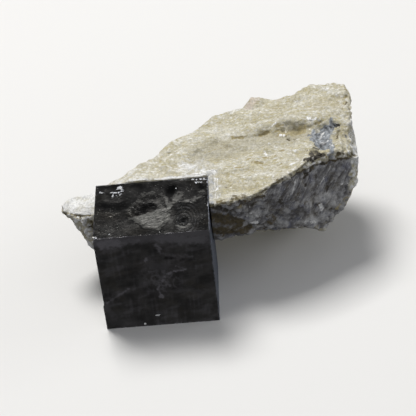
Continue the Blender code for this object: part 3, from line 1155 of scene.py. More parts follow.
    def top_relief(self, points: Points) -> Values:
        """Carve the hollow, the pits, the rings and the low ridges of the top.

        Args:
            points: vertices of the blank.

        Returns:
            Height over the top face's plane.
        """
        x, y = points[:, 0], points[:, 1]
        warp = 0.30 * Grain(1.2, 5).layered(points, 4, 0.6)
        dish = inside_depth(x, y, self.dish) + warp
        wall = ramp(dish, 0.0, self.dish_wall)
        height = wall * np.interp(y, *np.array(self.dish_floor).T)
        frost = ramp(inside_depth(x, y, self.lens) + 1.1 * warp, -0.15, 0.45)
        fibres = Grain(0.34, 12, (4.0, 1.0, 1.0), FIBRES).layered(points, 3, 0.65)
        crust = self.crust_depth * Grain(0.42, 21).cells(points).facet
        height += self.fibre_depth * frost * fibres + 0.8 * wall * (1.0 - frost) * crust
        ring = np.hypot((x - self.ring[0]) / 0.62, (y - self.ring[1]) / 1.05) + 0.5 * warp
        ripples = np.cos(ring / self.ring_pitch * math.tau) * ramp(ring, 7.0, 3.5) * ramp(x, 3.9, 4.8)
        arcs = ramp(ripples, 0.1, 0.9) * (0.6 + 0.6 * Grain(1.1, 35).layered(points, 3))
        swell = Grain(2.4, 33).layered(points, 5, 0.55)
        steps = self.treads[0] * terraces(swell, 4.0, 0.5)
        height += (1.0 - wall) * (self.ring_depth * ripples + steps + crust)
        marks = self.lay_marks(CRYSTAL_TOP, Face.TOP, points)
        fibrous = frost * (0.74 + 0.55 * fibres + 0.40 * swell)
        self.keep("frost", Face.TOP, points, np.maximum(fibrous, 0.22 * arcs))
        self.keep("haze_and_sheen", Face.TOP, points, 0.20 * arcs)
        self.keep("etch", Face.TOP, points, 0.35 + 0.45 * ramp(swell, -0.3, 0.4) + 0.3 * wall)
        return height + marks

    def front_relief(self, points: Points) -> Values:
        """Carve the low ring, rays, waves and lower block of the front face.

        Args:
            points: vertices of the blank.

        Returns:
            Height over the front face's plane.
        """
        x, z = points[:, 0], points[:, 2]
        warp = 0.3 * Grain(1.8, 6).layered(points, 3)
        swell = Grain(4.5, 41, (1.5, 1.0, 1.0)).layered(points, 4)
        height = self.treads[1] * terraces(swell, 5.0, 0.5) - 0.09
        ring = np.hypot(x - self.front_ring[0], z - self.front_ring[1])
        circle = ramp(np.abs(ring + 0.3 * warp - self.front_ring_radius), 0.24, 0.06)
        seam_height, slope = self.seam
        over = z - seam_height - slope * (x + 9.8) + 0.5 * warp
        height += 0.05 * ramp(over, 0.1, -0.1) * ramp(x, -4.2, -6.4) + 0.02 * circle
        web = ramp(Grain(1.3, 45, (1.0, 1.0, 1.6), (0.0, 24.0, 0.0)).ridged(points), 0.50, 0.80)
        web *= ramp(np.hypot((x - 1.0) / 1.2, z - 10.8), 4.8, 1.0)
        wisps = Grain(1.5, 47, (3.0, 1.0, 1.0), (0.0, -14.0, 0.0)).layered(points, 4, 0.6)
        upright = Grain(0.5, 49, (1.0, 1.0, 8.0), (0.0, 3.0, 0.0)).layered(points, 2)
        clouds = 0.26 * ramp(wisps + 0.3 * upright, 0.0, 0.75) + 0.10 * ramp(upright, 0.1, 0.6)
        veil = np.maximum.reduce((0.46 * circle, 0.50 * web, clouds))
        self.keep("veil", Face.FRONT, points, veil)
        self.keep("pit", Face.FRONT, points, 0.18 * ramp(wisps, -0.1, -0.6))
        return height + self.lay_marks(CRYSTAL_FRONT, Face.FRONT, points)

    def side_relief(self, points: Points, face: Face) -> Values:
        """Carve fine growth lines and low steps in a side, back or bottom face.

        Args:
            points: vertices of the blank.
            face: which face.

        Returns:
            Height over the face's plane, never above it.
        """
        along = (1.0, 1.0, 9.0) if face.axis == 0 else (9.0, 1.0, 1.0)
        lines = Grain(0.42, 61 + face.axis, along).layered(points, 2)
        swell = Grain(3.6, 71 + face.axis).layered(points, 3)
        pits = Grain(2.3, 83).cells(points)
        pitted = ramp(pits.away, 0.30, 0.12) * ramp(pits.lot, 0.35, 0.45)
        self.keep("etch", face, points, 0.15 + 0.5 * pitted)
        self.keep("veil", face, points, 0.35 * ramp(lines, 0.1, 0.7))
        # On the right face, a painted reflection: a pale bluish film, thickest near the stone where its
        # shade falls, with flecks of marl.
        if face is Face.RIGHT:
            flecks = Grain(0.7, 88).layered(points, 4, 0.7)
            painted_light_near_stone = 0.40 * ramp(points[:, 1], -4.0, 0.0)
            self.keep("haze_and_sheen", face, points, 0.82 + 0.30 * lines + 0.50 * flecks + painted_light_near_stone)
            self.keep("dust", face, points, 0.45 * ramp(flecks, 0.15, 0.7))
        steps = self.treads[2] * terraces(swell, 4.0, 0.4)
        return np.minimum(0.02 * lines + steps - 0.10 - 0.10 * pitted, 0.0)

    def carve(self, piece: Piece) -> None:
        """Move the blank's vertices in along each face's normal and wear the edges.

        Args:
            piece: the blank.
        """
        points = read_points(piece)
        moved = points.copy()
        edge = np.sort(self.from_faces(points), axis=1)[:, 1]
        inner = ramp(edge, 0.0, self.calm)
        for face in Face:
            if face is Face.TOP:
                relief = self.top_relief(points)
            elif face is Face.FRONT:
                relief = self.front_relief(points)
            else:
                relief = self.side_relief(points, face)
            here = self.on_face(points, face)
            moved[here, face.axis] += face.side * (relief * inner)[here]
        worn = self.nibble * np.abs(Grain(0.9, 90).layered(points, 3))
        worn += self.bite * ramp(Grain(2.2, 95).smooth(points), 0.50, 0.75)
        outer = (self.from_faces(points) < self.flush) & (edge < self.flush)[:, None]
        moved -= np.sign(points - self.centre) * outer * worn[:, None]
        outward = np.array((-1.0, -1.0, 1.0))
        corner = self.centre + outward * np.array(self.size) / 2.0
        chip = ramp(np.linalg.norm(points - corner, axis=1), 0.75, 0.1)
        moved -= self.chip * chip[:, None] * outward / math.sqrt(3.0)
        block = ramp(points[:, 2], self.block_height, self.block_height - 0.12)
        block *= ramp(points[:, 0], -9.2, -10.0) * ramp(points[:, 1], 1.0, -1.0)
        moved[:, 0] -= self.block_proud * block
        write_points(piece, moved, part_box(self.node))
        # Painted highlight: a pale, broken line along every edge.
        painted_edge_highlight = ramp(edge, 0.28, 0.05) * ramp(Grain(0.8, 99).layered(points, 3), -0.1, 0.5)
        self.masks["veil"] = np.maximum(self.masks["veil"], painted_edge_highlight)

    def build(self, material: Material) -> Piece:
        """Model and dress the crystal.

        Args:
            material: the pyrite finish.

        Returns:
            The finished piece.
        """
        piece = self.blank()
        self.carve(piece)
        for name, values in self.masks.items():
            write_mask(piece, name, values)
        pick_only(piece)
        bpy.ops.object.shade_smooth_by_angle(angle=math.radians(32.0))
        piece.data.materials.append(material)
        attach(piece, BODY)
        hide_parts(self.node)
        return piece


# ---------------------------------------------------------------- the stone


TOP_MARKS = (
    # Rusty marks: stains, and painted shade in the dark line under the scarp and in the shaded gully at the
    # right end.
    *laid(
        Tint.OCHRE,
        (((15.0, 8.8), (17.0, 8.6)), 0.32, -0.2, 1.0),
        (((17.1, 10.4), (18.2, 10.6)), 0.32, -0.12, 0.9),
        (((17.5, 9.5), (18.4, 9.2), (19.8, 8.7)), 0.45, -0.28, 1.2),
        (((19.9, 10.5), (20.6, 10.3), (21.4, 10.4), (22.2, 10.0)), 0.34, -0.18, 1.2),
        (((22.9, 11.5), (23.7, 11.6)), 0.36, -0.18, 1.0),
        (((9.6, 14.1), (11.7, 14.6), (13.8, 15.4)), 0.22, -0.16, 0.9),
        (((3.0, 14.6), (5.4, 15.0)), 0.2, -0.14, 0.9),
        (((12.2, 6.2), (12.4, 5.9)), 0.34, -0.2, 0.9),
        (((12.5, 2.6),), 0.3, -0.16, 0.8),
        (((15.7, 1.2),), 0.3, -0.2, 0.8),
        (((13.8, 17.6), (15.4, 17.1)), 0.45, -0.1, 0.6),
        (
            ((15.0, 16.9), (16.4, 16.6), (18.1, 16.85), (20.3, 17.2), (22.3, 16.85), (23.6, 17.0)),
            0.4, -0.08, 1.1,
        ),
        (((23.4, 16.5), (25.4, 16.2), (27.6, 16.7)), 1.3, -0.05, 0.62),
        (((17.9, 16.9), (18.9, 16.5)), 0.5, -0.06, 0.8),
        (((27.0, 17.4), (28.0, 17.1)), 0.6, -0.12, 0.6),
        (((22.9, 17.8), (24.1, 17.7)), 0.36, -0.1, 0.8),
        (((29.9, 17.4), (30.9, 17.7)), 0.24, -0.14, 0.9),
        (((36.0, 24.6),), 0.6, -0.2, 1.0),
        (((19.2, 25.4), (20.8, 25.4)), 0.5, -0.16, 0.5),
        (((26.8, 5.5), (27.8, 6.4), (28.5, 6.9)), 0.42, 0.0, 0.85),
        (((36.1, 23.4), (35.5, 22.0), (35.3, 20.4), (34.6, 18.6)), 0.45, -0.25, 0.85),
    ),
    *laid(
        Tint.CHALK,
        (((15.0, 8.2), (17.4, 8.0), (19.6, 8.0)), 0.4, 0.16, 0.4),
        (((24.6, 16.8),), 0.52, 0.34, 1.0),
        (((23.5, 16.0), (24.0, 15.6)), 0.45, 0.32, 1.0),
        (((21.4, 13.7),), 0.32, 0.26, 1.0),
        (((21.0, 12.6), (20.5, 11.6), (20.8, 10.9)), 0.44, 0.28, 1.0),
        (((26.2, 13.1),), 0.44, 0.3, 1.0),
        (((25.2, 10.0), (25.9, 10.1)), 0.38, 0.26, 1.0),
        (((23.3, 9.2),), 0.3, 0.2, 1.0),
        (((24.9, 6.0), (25.4, 6.3)), 0.45, 0.2, 1.0),
        (((22.9, 18.2), (22.2, 17.8)), 0.32, 0.16, 0.8),
        (((28.9, 18.2),), 0.62, 0.2, 0.95),
        (((29.4, 18.0), (30.8, 18.3)), 0.5, 0.14, 0.8),
        (((28.3, 16.4), (29.4, 16.7)), 0.5, 0.14, 0.6),
        (((32.4, 26.8), (32.8, 26.2)), 0.6, 0.12, 0.8),
        (((31.8, 23.5), (33.8, 23.3)), 0.6, 0.1, 0.4),
        (((34.0, 12.9), (33.8, 11.2)), 0.8, 0.3, 0.45),
        (((34.6, 15.4), (34.9, 14.6)), 0.6, 0.25, 0.35),
        (((29.2, 15.3), (30.0, 15.6), (31.2, 16.4)), 0.24, 0.16, 0.6),
        (((31.3, 16.2), (30.7, 15.3), (30.2, 14.4)), 0.28, 0.16, 0.6),
        (((29.9, 11.8), (30.8, 12.1), (31.8, 12.2)), 0.3, 0.16, 0.6),
        (((32.0, 11.6), (32.6, 9.9)), 0.34, 0.16, 0.65),
    ),
    # Brown marks: stains, partly painted shade along the scarp and in the recess below it.
    *laid(
        Tint.EARTH,
        (((13.2, 4.1), (13.8, 4.5)), 0.42, -0.22, 0.6),
        (((16.6, 16.7), (17.4, 16.8)), 0.34, -0.05, 0.6),
        (((20.6, 17.1), (21.6, 16.9)), 0.34, -0.05, 0.6),
        (((24.4, 15.6), (24.7, 14.7)), 0.55, -0.25, 0.65),
        (((25.2, 14.0), (26.4, 14.2)), 0.55, -0.25, 0.65),
        (((26.2, 17.2), (26.5, 15.9)), 0.55, -0.16, 0.5),
        (((34.2, 22.9), (33.2, 22.0)), 0.9, -0.22, 0.25),
        (((33.6, 14.8), (33.4, 13.4)), 0.6, -0.25, 0.7),
        (((35.9, 21.6), (35.6, 20.6)), 0.36, -0.1, 0.6),
    ),
    *laid(
        Tint.DULL,
        (((9.0, 14.4), (20.0, 15.2), (26.8, 15.2)), 3.8, 0.0, 0.62),
        (((24.2, 15.6), (27.4, 16.0)), 2.0, -0.08, 0.85),
    ),
    *laid(
        Tint.BLUSH,
        (((19.6, 26.9), (18.2, 25.2)), 1.9, 0.0, 0.52),
        (((22.5, 26.2), (24.6, 26.0)), 1.1, 0.0, 0.45),
    ),
    # Dark marks: painted shade in the notch under the brink and in small recesses of the top.
    *laid(
        Tint.SOOT,
        (((33.2, 16.6), (33.9, 16.0)), 0.5, -0.45, 1.0),
        (((29.0, 14.5), (30.3, 14.9), (30.8, 14.2)), 0.26, -0.14, 0.38),
        (((31.9, 17.0), (32.1, 16.0)), 0.26, -0.18, 0.5),
        (((28.5, 7.6), (29.5, 9.2), (30.6, 8.5)), 1.0, -0.3, 0.72),
        (((27.4, 6.0), (28.8, 7.2), (30.4, 8.2)), 0.8, -0.15, 0.8),
        (((29.8, 10.0), (31.0, 10.1)), 0.6, -0.15, 0.6),
    ),
    *laid(
        Tint.SLATE,
        (((35.2, 14.1), (35.1, 13.2)), 0.36, 0.0, 0.9),
    ),
    *laid(
        Tint.PLAIN,
        (((-15.7, 9.0),), 1.0, 0.35, 1.0),
    ),
)

FRONT_MARKS = (
    *laid(
        Tint.ASH,
        (((28.2, 15.5), (31.5, 13.5), (33.3, 12.8)), 1.9, 0.0, 0.6),
        (((29.9, 11.1), (31.3, 9.8), (32.8, 11.2)), 2.1, 0.0, 0.65),
        (((25.7, 10.3), (27.5, 10.4), (29.0, 8.3), (30.3, 8.3)), 1.6, 0.05, 0.9),
        (((16.8, 16.2), (18.3, 16.1), (17.4, 14.4)), 1.4, 0.0, 0.6),
        (((19.3, 18.0), (20.2, 15.1)), 1.4, 0.0, 0.45),
        (((23.3, 15.6), (23.5, 13.0)), 1.5, 0.0, 0.35),
        (((26.4, 13.4), (27.7, 12.2)), 1.6, 0.0, 0.45),
        (((33.2, 17.6), (34.4, 15.4)), 1.2, 0.0, 0.4),
    ),
    # Brown marks: stains, partly painted shade in hollows of the break and near the brink.
    *laid(
        Tint.EARTH,
        (((28.5, 23.5), (29.3, 22.4)), 0.36, -0.1, 0.8),
        (((33.5, 22.2), (34.1, 21.8), (34.6, 21.2)), 0.5, -0.28, 1.0),
        (((27.0, 14.9),), 0.9, -0.2, 0.5),
        (((29.2, 13.0),), 0.9, -0.2, 0.55),
        (((31.5, 11.0),), 0.95, -0.22, 0.55),
        (((20.6, 12.0), (20.4, 13.4), (21.4, 12.4)), 1.2, -0.2, 0.55),
        (((10.8, 17.0), (12.6, 15.6), (14.6, 14.6)), 2.4, -0.12, 0.72),
        (((11.0, 13.2), (14.1, 12.4), (16.3, 12.0)), 2.3, 0.0, 0.68),
        (((-12.4, 15.5), (-11.3, 16.0)), 0.45, -0.25, 1.1),
        (((-11.9, 13.5), (-11.3, 13.6)), 0.36, -0.25, 1.1),
        (((-11.6, 15.2), (-11.5, 14.0)), 0.45, -0.2, 0.8),
    ),
    # White marks: lumps and lines, partly painted light on the lumps of the tip's underside and the broad
    # end.
    *laid(
        Tint.CHALK,
        (((27.0, 22.7), (28.2, 22.5), (29.3, 22.0), (30.3, 21.9), (31.2, 22.0)), 0.28, 0.26, 0.62),
        (((31.7, 21.9), (31.5, 22.6)), 0.5, 0.2, 0.7),
        (((35.6, 20.9), (35.0, 21.6)), 0.6, 0.25, 0.6),
        (((26.0, 22.2), (25.4, 21.1), (24.7, 19.1), (24.2, 17.9)), 0.24, 0.12, 0.6),
        (((30.2, 17.9), (28.8, 16.6), (27.1, 15.6)), 0.24, 0.12, 0.55),
        (((31.8, 20.1), (30.6, 18.4), (29.4, 16.8)), 0.22, 0.12, 0.5),
        (((28.4, 19.3), (27.1, 18.0), (25.7, 16.8)), 0.22, 0.12, 0.5),
        (((24.3, 17.9), (23.1, 15.6)), 0.22, 0.12, 0.45),
        (((33.6, 15.8), (35.1, 15.0)), 0.34, 0.18, 0.65),
        (((16.9, 19.2), (17.1, 17.9)), 0.22, 0.16, 0.6),
        (((16.9, 16.6), (16.4, 15.4), (16.8, 13.8), (17.9, 13.7)), 0.4, 0.26, 0.9),
        (((17.7, 15.8), (18.5, 14.7)), 0.42, 0.2, 0.7),
        (((19.2, 17.1), (19.7, 16.2)), 0.5, 0.14, 0.5),
        (((29.6, 12.8), (29.9, 11.4)), 0.42, 0.18, 0.7),
        (((25.4, 9.2), (26.7, 10.5), (28.1, 9.7)), 0.6, 0.2, 0.6),
        (((36.2, 16.4),), 1.2, 0.25, 0.8),
        (((36.2, 21.9), (36.2, 20.9), (36.8, 19.5), (36.6, 17.8)), 0.8, 0.0, 0.65),
        (((36.3, 14.6), (35.4, 13.0), (34.6, 11.8)), 0.6, 0.15, 0.5),
        (((-13.2, 14.8), (-12.8, 14.4)), 0.5, 0.3, 1.2),
        (((-12.6, 13.0), (-12.0, 12.9)), 0.45, 0.3, 1.2),
        (((-12.9, 12.3), (-12.2, 10.9)), 0.45, 0.15, 0.7),
        (((-13.9, 15.1),), 0.45, 0.14, 0.8),
    ),
    # Dark marks: painted shade in hollows of the break and in the notch under the brink.
    *laid(
        Tint.SOOT,
        (((28.2, 21.3), (27.4, 20.9), (26.9, 20.3)), 0.5, -0.28, 1.0),
        (((29.3, 21.5), (30.4, 21.1)), 0.48, -0.22, 0.9),
        (((27.7, 19.6), (27.2, 18.9)), 0.52, -0.24, 0.9),
        (((31.2, 15.7), (30.8, 15.0)), 0.7, -0.22, 0.65),
        (((22.4, 18.5), (22.8, 16.2)), 0.8, -0.26, 0.65),
        (((17.2, 19.4), (17.7, 18.1)), 0.6, -0.26, 0.65),
        (((11.0, 18.9), (12.3, 18.9), (12.9, 17.9)), 0.95, -0.28, 0.75),
        (((11.2, 16.3), (14.2, 15.8)), 0.9, -0.15, 0.55),
        (((27.9, 23.3), (28.9, 23.0), (30.2, 22.8), (31.0, 22.7)), 0.6, 0.0, 1.1),
    ),
    *laid(
        Tint.OCHRE,
        (((14.0, 19.0), (15.6, 19.0)), 0.8, -0.08, 0.45),
        (((29.0, 8.6), (28.4, 8.2)), 0.8, 0.0, 0.5),
        (((34.6, 12.0), (32.5, 11.1)), 0.8, 0.1, 0.6),
        (((36.2, 16.4),), 0.62, -0.6, 1.0),
        (((-13.6, 13.9), (-12.2, 11.6)), 0.7, 0.0, 0.45),
        (((-15.8, 15.6), (-14.3, 15.7), (-13.0, 15.7), (-11.5, 16.0)), 0.28, -0.14, 1.0),
    ),
    *laid(
        Tint.PLAIN,
        (((36.8, 18.6),), 0.8, 0.25, 1.0),
        (((21.7, 8.1), (20.9, 7.9)), 1.3, 0.5, 1.0),
        (((23.6, 9.4),), 1.0, -0.6, 1.0),
        (((16.9, 11.8), (18.6, 11.4)), 1.5, -0.9, 1.0),
        (((31.4, 8.7), (33.2, 10.3)), 1.1, 0.3, 1.0),
        (((36.9, 22.6), (36.9, 20.9)), 1.5, -0.6, 1.0),
        (((-16.6, 14.6),), 1.3, -0.45, 1.0),
        (((-17.3, 16.2),), 1.2, -0.35, 1.0),
    ),
)


@dataclass(frozen=True)
class Depths:
    """How far each pattern raises or sinks the stone's skin.

    Attributes:
        top: the bedding's plates, its fine lines, and grit.
        rubble: lumps and facets of the top's crumbly parts.
        streaks: the slanting streaks of the break.
        lumps: its large lumps, small lumps, facets and ridges.
        end: the broad end's lumps, facets, swells and ridges.
        vein: the vein's blades and facets, and how far it is sunk.
        rest: facets, swells and small lumps of the sides, back and underside.
        rim: growth lines of the white rim.
        chips: chips along the brink.
        scarp: the step across the top, and what its right part lacks.
        swell: broad swells, and what they lack on the top.
        pits: broad pits of the sides.
    """

    top: Triple = (0.22, 0.07, 0.09)
    rubble: tuple[float, float] = (0.40, 0.20)
    streaks: float = 0.36
    lumps: tuple[float, float, float, float] = (0.42, 0.36, 0.24, 0.24)
    end: tuple[float, float, float, float] = (0.55, 0.28, 0.36, 0.22)
    vein: Triple = (0.44, 0.24, 0.26)
    rest: Triple = (0.24, 0.16, 0.18)
    rim: float = 0.06
    chips: float = 0.75
    scarp: tuple[float, float] = (0.34, 0.16)
    swell: tuple[float, float] = (0.12, 0.05)
    pits: float = 0.28


@dataclass
class Stone:
    """The chunk of marl that grips the crystal.

    Attributes:
        node: the solid that it stands for.
        voxel: size of the fine skin's cells.
        depths: how strong its patterns are.
        seat: half width and back of the crystal's notch.
        seat_gap: how far the notch's walls move in to meet the crystal.
        seat_skin: how far from those walls a vertex may lie that belongs to them.
        foot: height up to which the skin stays as flat as the solid's foot.
        brink: upper border of the front break, from left to right.
        scarp: (X, Y) of the step across the top; the far side is higher.
        heap: (X, Y) of the rubble below its right part.
        knoll: (X, Y) of the pale middle of the halo beside the crystal.
        rim_pitch: distance between growth lines of the white rim.
        lip_gap: X where the painted shade of the brown lip under the brink has a gap.
        vein: outline of the broken blue-grey vein, seen from above.
    """

    node: str = "marl_matrix"
    voxel: float = 0.235
    depths: Depths = Depths()
    seat: tuple[float, float] = (10.3, 7.8)
    seat_gap: float = 0.27
    seat_skin: float = 0.16
    foot: float = 0.1
    brink: Path = (
        (-16.9, 7.5, 15.4), (-12.7, 5.4, 15.7), (-10.2, 5.0, 16.3), (10.3, 0.1, 19.6), (12.0, 0.1, 19.9),
        (15.6, 0.3, 20.7), (17.2, 0.9, 20.2), (18.6, 1.2, 20.5), (21.6, 2.2, 21.4), (25.9, 4.6, 22.1),
        (27.2, 5.7, 22.2), (28.8, 6.9, 22.0), (30.7, 8.2, 21.6), (32.8, 9.0, 21.5), (34.4, 9.6, 21.1),
        (36.7, 12.5, 19.0),
    )
    scarp: Outline = (
        (12.5, 17.9), (14.2, 17.2), (16.4, 16.75), (18.1, 17.0), (20.3, 17.35), (22.3, 17.0),
        (23.6, 17.15), (24.8, 17.1), (26.5, 17.4), (28.7, 17.5),
    )
    heap: Outline = ((23.6, 16.6), (25.6, 15.4), (28.4, 17.2))
    knoll: tuple[float, float] = (7.5, 10.0)
    rim_pitch: float = 0.46
    lip_gap: float = 29.2
    vein: Outline = (
        (28.7, 15.3), (29.4, 15.9), (30.3, 16.4), (31.1, 17.2), (31.9, 17.4), (32.9, 17.2), (33.4, 16.6),
        (33.0, 15.4), (32.6, 14.2), (32.8, 12.0), (33.2, 9.9), (32.6, 8.8), (31.8, 8.7), (31.1, 9.8),
        (29.8, 10.7), (29.2, 11.5), (28.4, 12.3), (28.2, 13.6),
    )

    def blank(self) -> Piece:
        """Copy the stone's solid and give it an even, fine skin.

        Returns:
            The copy.
        """
        piece = bpy.data.objects.new("marl_stone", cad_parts[self.node].data.copy())
        piece.data.name = piece.name
        bpy.context.scene.collection.objects.link(piece)
        piece.data.materials.clear()
        in_edit_mode(piece)
        bpy.ops.mesh.remove_doubles(threshold=0.00001)
        bpy.ops.mesh.normals_make_consistent(inside=False)
        bpy.ops.object.mode_set(mode="OBJECT")
        skin = piece.modifiers.new("skin", "REMESH")
        skin.mode = "VOXEL"
        skin.voxel_size = self.voxel * MM
        skin.use_smooth_shade = True
        bpy.ops.object.modifier_apply(modifier=skin.name)
        return piece

    def zones(self, points: Points, normals: Points, wander: Values) -> Zones:
        """Say what kind of surface each vertex is.

        Args:
            points: vertices of the skin.
            normals: their normals.
            wander: how far borders stray.

        Returns:
            Shares named top, front, seen, right, streaked, end, tip, vein and fringe,
            the distances to the crystal and to the brink under contact and brink, and
            the height below the brink under drop.
        """
        x, y, z = points.T
        brink_x, brink_y, brink_z = np.array(self.brink).T
        brink_y, brink_z = (np.interp(x, brink_x, line) for line in (brink_y, brink_z))
        right = ramp(x, 9.0, 9.6)
        below = ramp(brink_z - z + 0.30 * wander, -0.1, 0.25)
        facing = ramp(normals[:, 2] + 0.12 * wander, 0.80, 0.60)
        near = ramp(y - brink_y, 6.0, 3.0)
        front = below * facing * near * ramp(np.abs(x), 9.0, 9.6)
        half, back = self.seat
        contact = np.hypot(np.maximum(np.abs(x) - half, 0.0), np.maximum(y - back, 0.0))
        upward = ramp(normals[:, 2], 0.30, 0.70)
        depth = inside_depth(x, y, self.vein)
        reach = np.interp(x, (-8.0, 2.0, 8.0, 10.4, 12.0), (0.20, 0.45, 1.0, 1.5, 1.5))
        return {
            "top": upward * (1.0 - front),
            "front": front,
            "right": right,
            "seen": np.maximum.reduce((near, ramp(x, 34.0, 35.0), ramp(x, 9.0, 8.0))),
            "streaked": ramp(x + 0.6 * z + 2.0 * wander, 31.0, 35.0) * ramp(z + wander, 13.5, 16.5),
            "end": ramp(x + 1.0 * wander - 0.12 * (z - 15.0), 34.4, 35.6),
            "tip": ramp(x + wander, -9.4, -10.6),
            "vein": ramp(depth + 1.0 * wander, -0.50, 0.60) * ramp(z, 20.0, 21.5),
            "fringe": upward * ramp(contact / reach + 0.9 * wander, 1.25, 0.45) * ramp(z, 17.5, 19.6),
            "contact": contact,
            "brink": path_distance(points, self.brink) * right + 9.0 * (1.0 - right),
            "drop": brink_z - z,
        }

    def top_relief(self, points: Points, zone: Zones, small: Crumbling) -> Values:
        """Shape bedding plates and lines, with rubble on the right and by the scarp.

        Args:
            points: vertices of the skin.
            zone: kind of surface.
            small: crumbs of the finest size.

        Returns:
            Height over the plain skin.
        """
        plate, line, grit = self.depths.top
        bedding = Grain(2.8, 17, (2.6, 1.0, 1.0), BEDDING).layered(points, 4, 0.6)
        lines = Grain(0.60, 7, (4.5, 1.3, 1.0), BEDDING).layered(points, 3, 0.6)
        height = plate * terraces(bedding, 4.0, 0.08) + line * lines
        height += grit * Grain(0.7, 19).layered(points, 2)
        height *= 1.0 - 0.5 * zone["tip"]
        rightmost = ramp(points[:, 0] + 0.8 * Grain(2.0, 18).layered(points, 3), 31.8, 33.6)
        from_heap = path_distance(points[:, :2], self.heap) + 0.8 * Grain(1.2, 28).layered(points, 3)
        crumbly = np.maximum(rightmost, 0.8 * ramp(from_heap, 1.7, 0.6))
        lump, facet = self.depths.rubble
        return height + (lump * (0.45 - small.away) + facet * small.facet) * crumbly

    def break_relief(self, points: Points, streaked: Values, small: Crumbling) -> Values:
        """Shape the lumps of the front break, which give way to slanting streaks.

        Args:
            points: vertices of the skin.
            streaked: share of the streaks.
            small: crumbs of the finest size.

        Returns:
            Height over the plain skin.
        """
        large_lump, small_lump, facet, ridge = self.depths.lumps
        streaks = Grain(0.75, 27, (1.0, 1.0, 6.0), STREAKS).ridged(points) - 0.4
        large = Grain(2.1, 37).cells(points)
        lumps = large_lump * (0.55 - large.away) + small_lump * (0.5 - small.away) + facet * large.facet
        lumps += ridge * (Grain(0.9, 38).ridged(points) - 0.4)
        return self.depths.streaks * streaks * streaked + lumps * (1.0 - 0.5 * streaked)

    def end_relief(self, points: Points) -> Values:
        """Shape the uneven lumps of the broad end.

        Args:
            points: vertices of the skin.

        Returns:
            Height over the plain skin.
        """
        lump, facet, swell, ridge = self.depths.end
        crumbs = Grain(1.6, 47).cells(points)
        height = lump * (0.5 - crumbs.away) + facet * crumbs.facet
        height += swell * Grain(2.3, 48).layered(points, 5, 0.6)
        return height + ridge * (Grain(1.7, 49).ridged(points, 4) - 0.4)

    def vein_relief(self, points: Points, small: Crumbling) -> Values:
        """Shape the vein's blades, which lean one way or the other.

        Args:
            points: vertices of the skin.
            small: crumbs of the finest size.

        Returns:
            Height over the plain skin.
        """
        blade, facet, sunk = self.depths.vein
        leaning, crossing = (
            Grain(0.42, seed, (1.0, 4.0, 1.0), (0.0, 0.0, turn)).ridged(points, 2)
            for seed, turn in ((57, 35.0), (59, -50.0))
        )
        choice = ramp(Grain(1.4, 58).smooth(points), -0.15, 0.15)
        return blade * (leaning * choice + crossing * (1.0 - choice)) + facet * small.facet - sunk

    def fine_relief(self, points: Points, zone: Zones) -> Values:
        """Shape the small unevenness of each kind of surface.

        Args:
            points: vertices of the skin.
            zone: kind of surface.

        Returns:
            Height over the plain skin.
        """
        small = Grain(0.9, 39).cells(points)
        top = self.top_relief(points, zone, small)
        facet, swell, lump = self.depths.rest
        height = facet * Grain(2.6, 67).cells(points).facet + lump * (0.5 - small.away)
        height += swell * Grain(1.6, 77).layered(points, 4)
        height *= 1.0 + 1.1 * zone["tip"]
        rim = self.depths.rim * self.fringe_lines(zone["contact"], points) + 0.5 * top
        for share, kind in (
            (zone["top"], top),
            (zone["front"], self.break_relief(points, zone["streaked"], small)),
            (0.85 * zone["end"], self.end_relief(points)),
            (zone["vein"], self.vein_relief(points, small)),
            (zone["fringe"], rim),
        ):
            height += (kind - height) * share
        height += self.depths.chips * Grain(1.3, 107).cells(points).facet * ramp(zone["brink"], 1.3, 0.2)
        return height * ramp(zone["contact"], 0.1, 0.9)

    def fringe_lines(self, contact: Values, points: Points) -> Values:
        """Return a wave that runs out from the crystal, as growth lines do."""
        return np.cos(contact / self.rim_pitch * math.tau + 2.2 * Grain(1.6, 43).layered(points, 2))

    def coarse_relief(self, points: Points, zone: Zones, wander: Values) -> Values:
        """Shape the broader forms of the skin: the scarp, the swells and the pits.

        Args:
            points: vertices of the skin.
            zone: kind of surface.
            wander: how far borders stray.

        Returns:
            Height over the plain skin.
        """
        x, y, _ = points.T
        scarp_x, scarp_y = np.array(self.scarp).T
        beyond = y - np.interp(x, scarp_x, scarp_y) + 0.3 * wander
        rise, less = self.depths.scarp
        step = (rise - less * ramp(x, 21.5, 24.5)) * ramp(beyond, -0.12, 0.12) * ramp(beyond, 3.4, 1.0)
        step *= ramp(x, scarp_x[0], 15.5) * ramp(x, 27.5, 24.5)
        rise, less = self.depths.swell
        swell = (rise - less * zone["top"]) * Grain(4.6, 87).layered(points, 2)
        pits = Grain(2.9, 97).cells(points)
        sunk = self.depths.pits * ramp(pits.away, 0.16, 0.05) * ramp(pits.lot, 0.0, 0.15)
        height = step * zone["top"] + swell - sunk * (1.0 - zone["top"])
        return height * ramp(zone["contact"], 0.2, 1.5) * ramp(x, -16.5, -12.0)

    def close_seat(self, points: Points) -> Points:
        """Draw the notch's walls in until they meet the crystal.

        Args:
            points: vertices of the skin before its relief.

        Returns:
            The shift of each vertex.
        """
        half, back = self.seat
        shift = np.zeros_like(points)
        x, y = points[:, 0], points[:, 1]
        at_side = (np.abs(np.abs(x) - half) < self.seat_skin) & (y < back + 0.05)
        at_back = (np.abs(y - back) < self.seat_skin) & (np.abs(x) < half + 0.05)
        shift[at_side, 0] = -np.sign(x[at_side]) * self.seat_gap
        shift[at_back, 1] = -self.seat_gap
        return shift

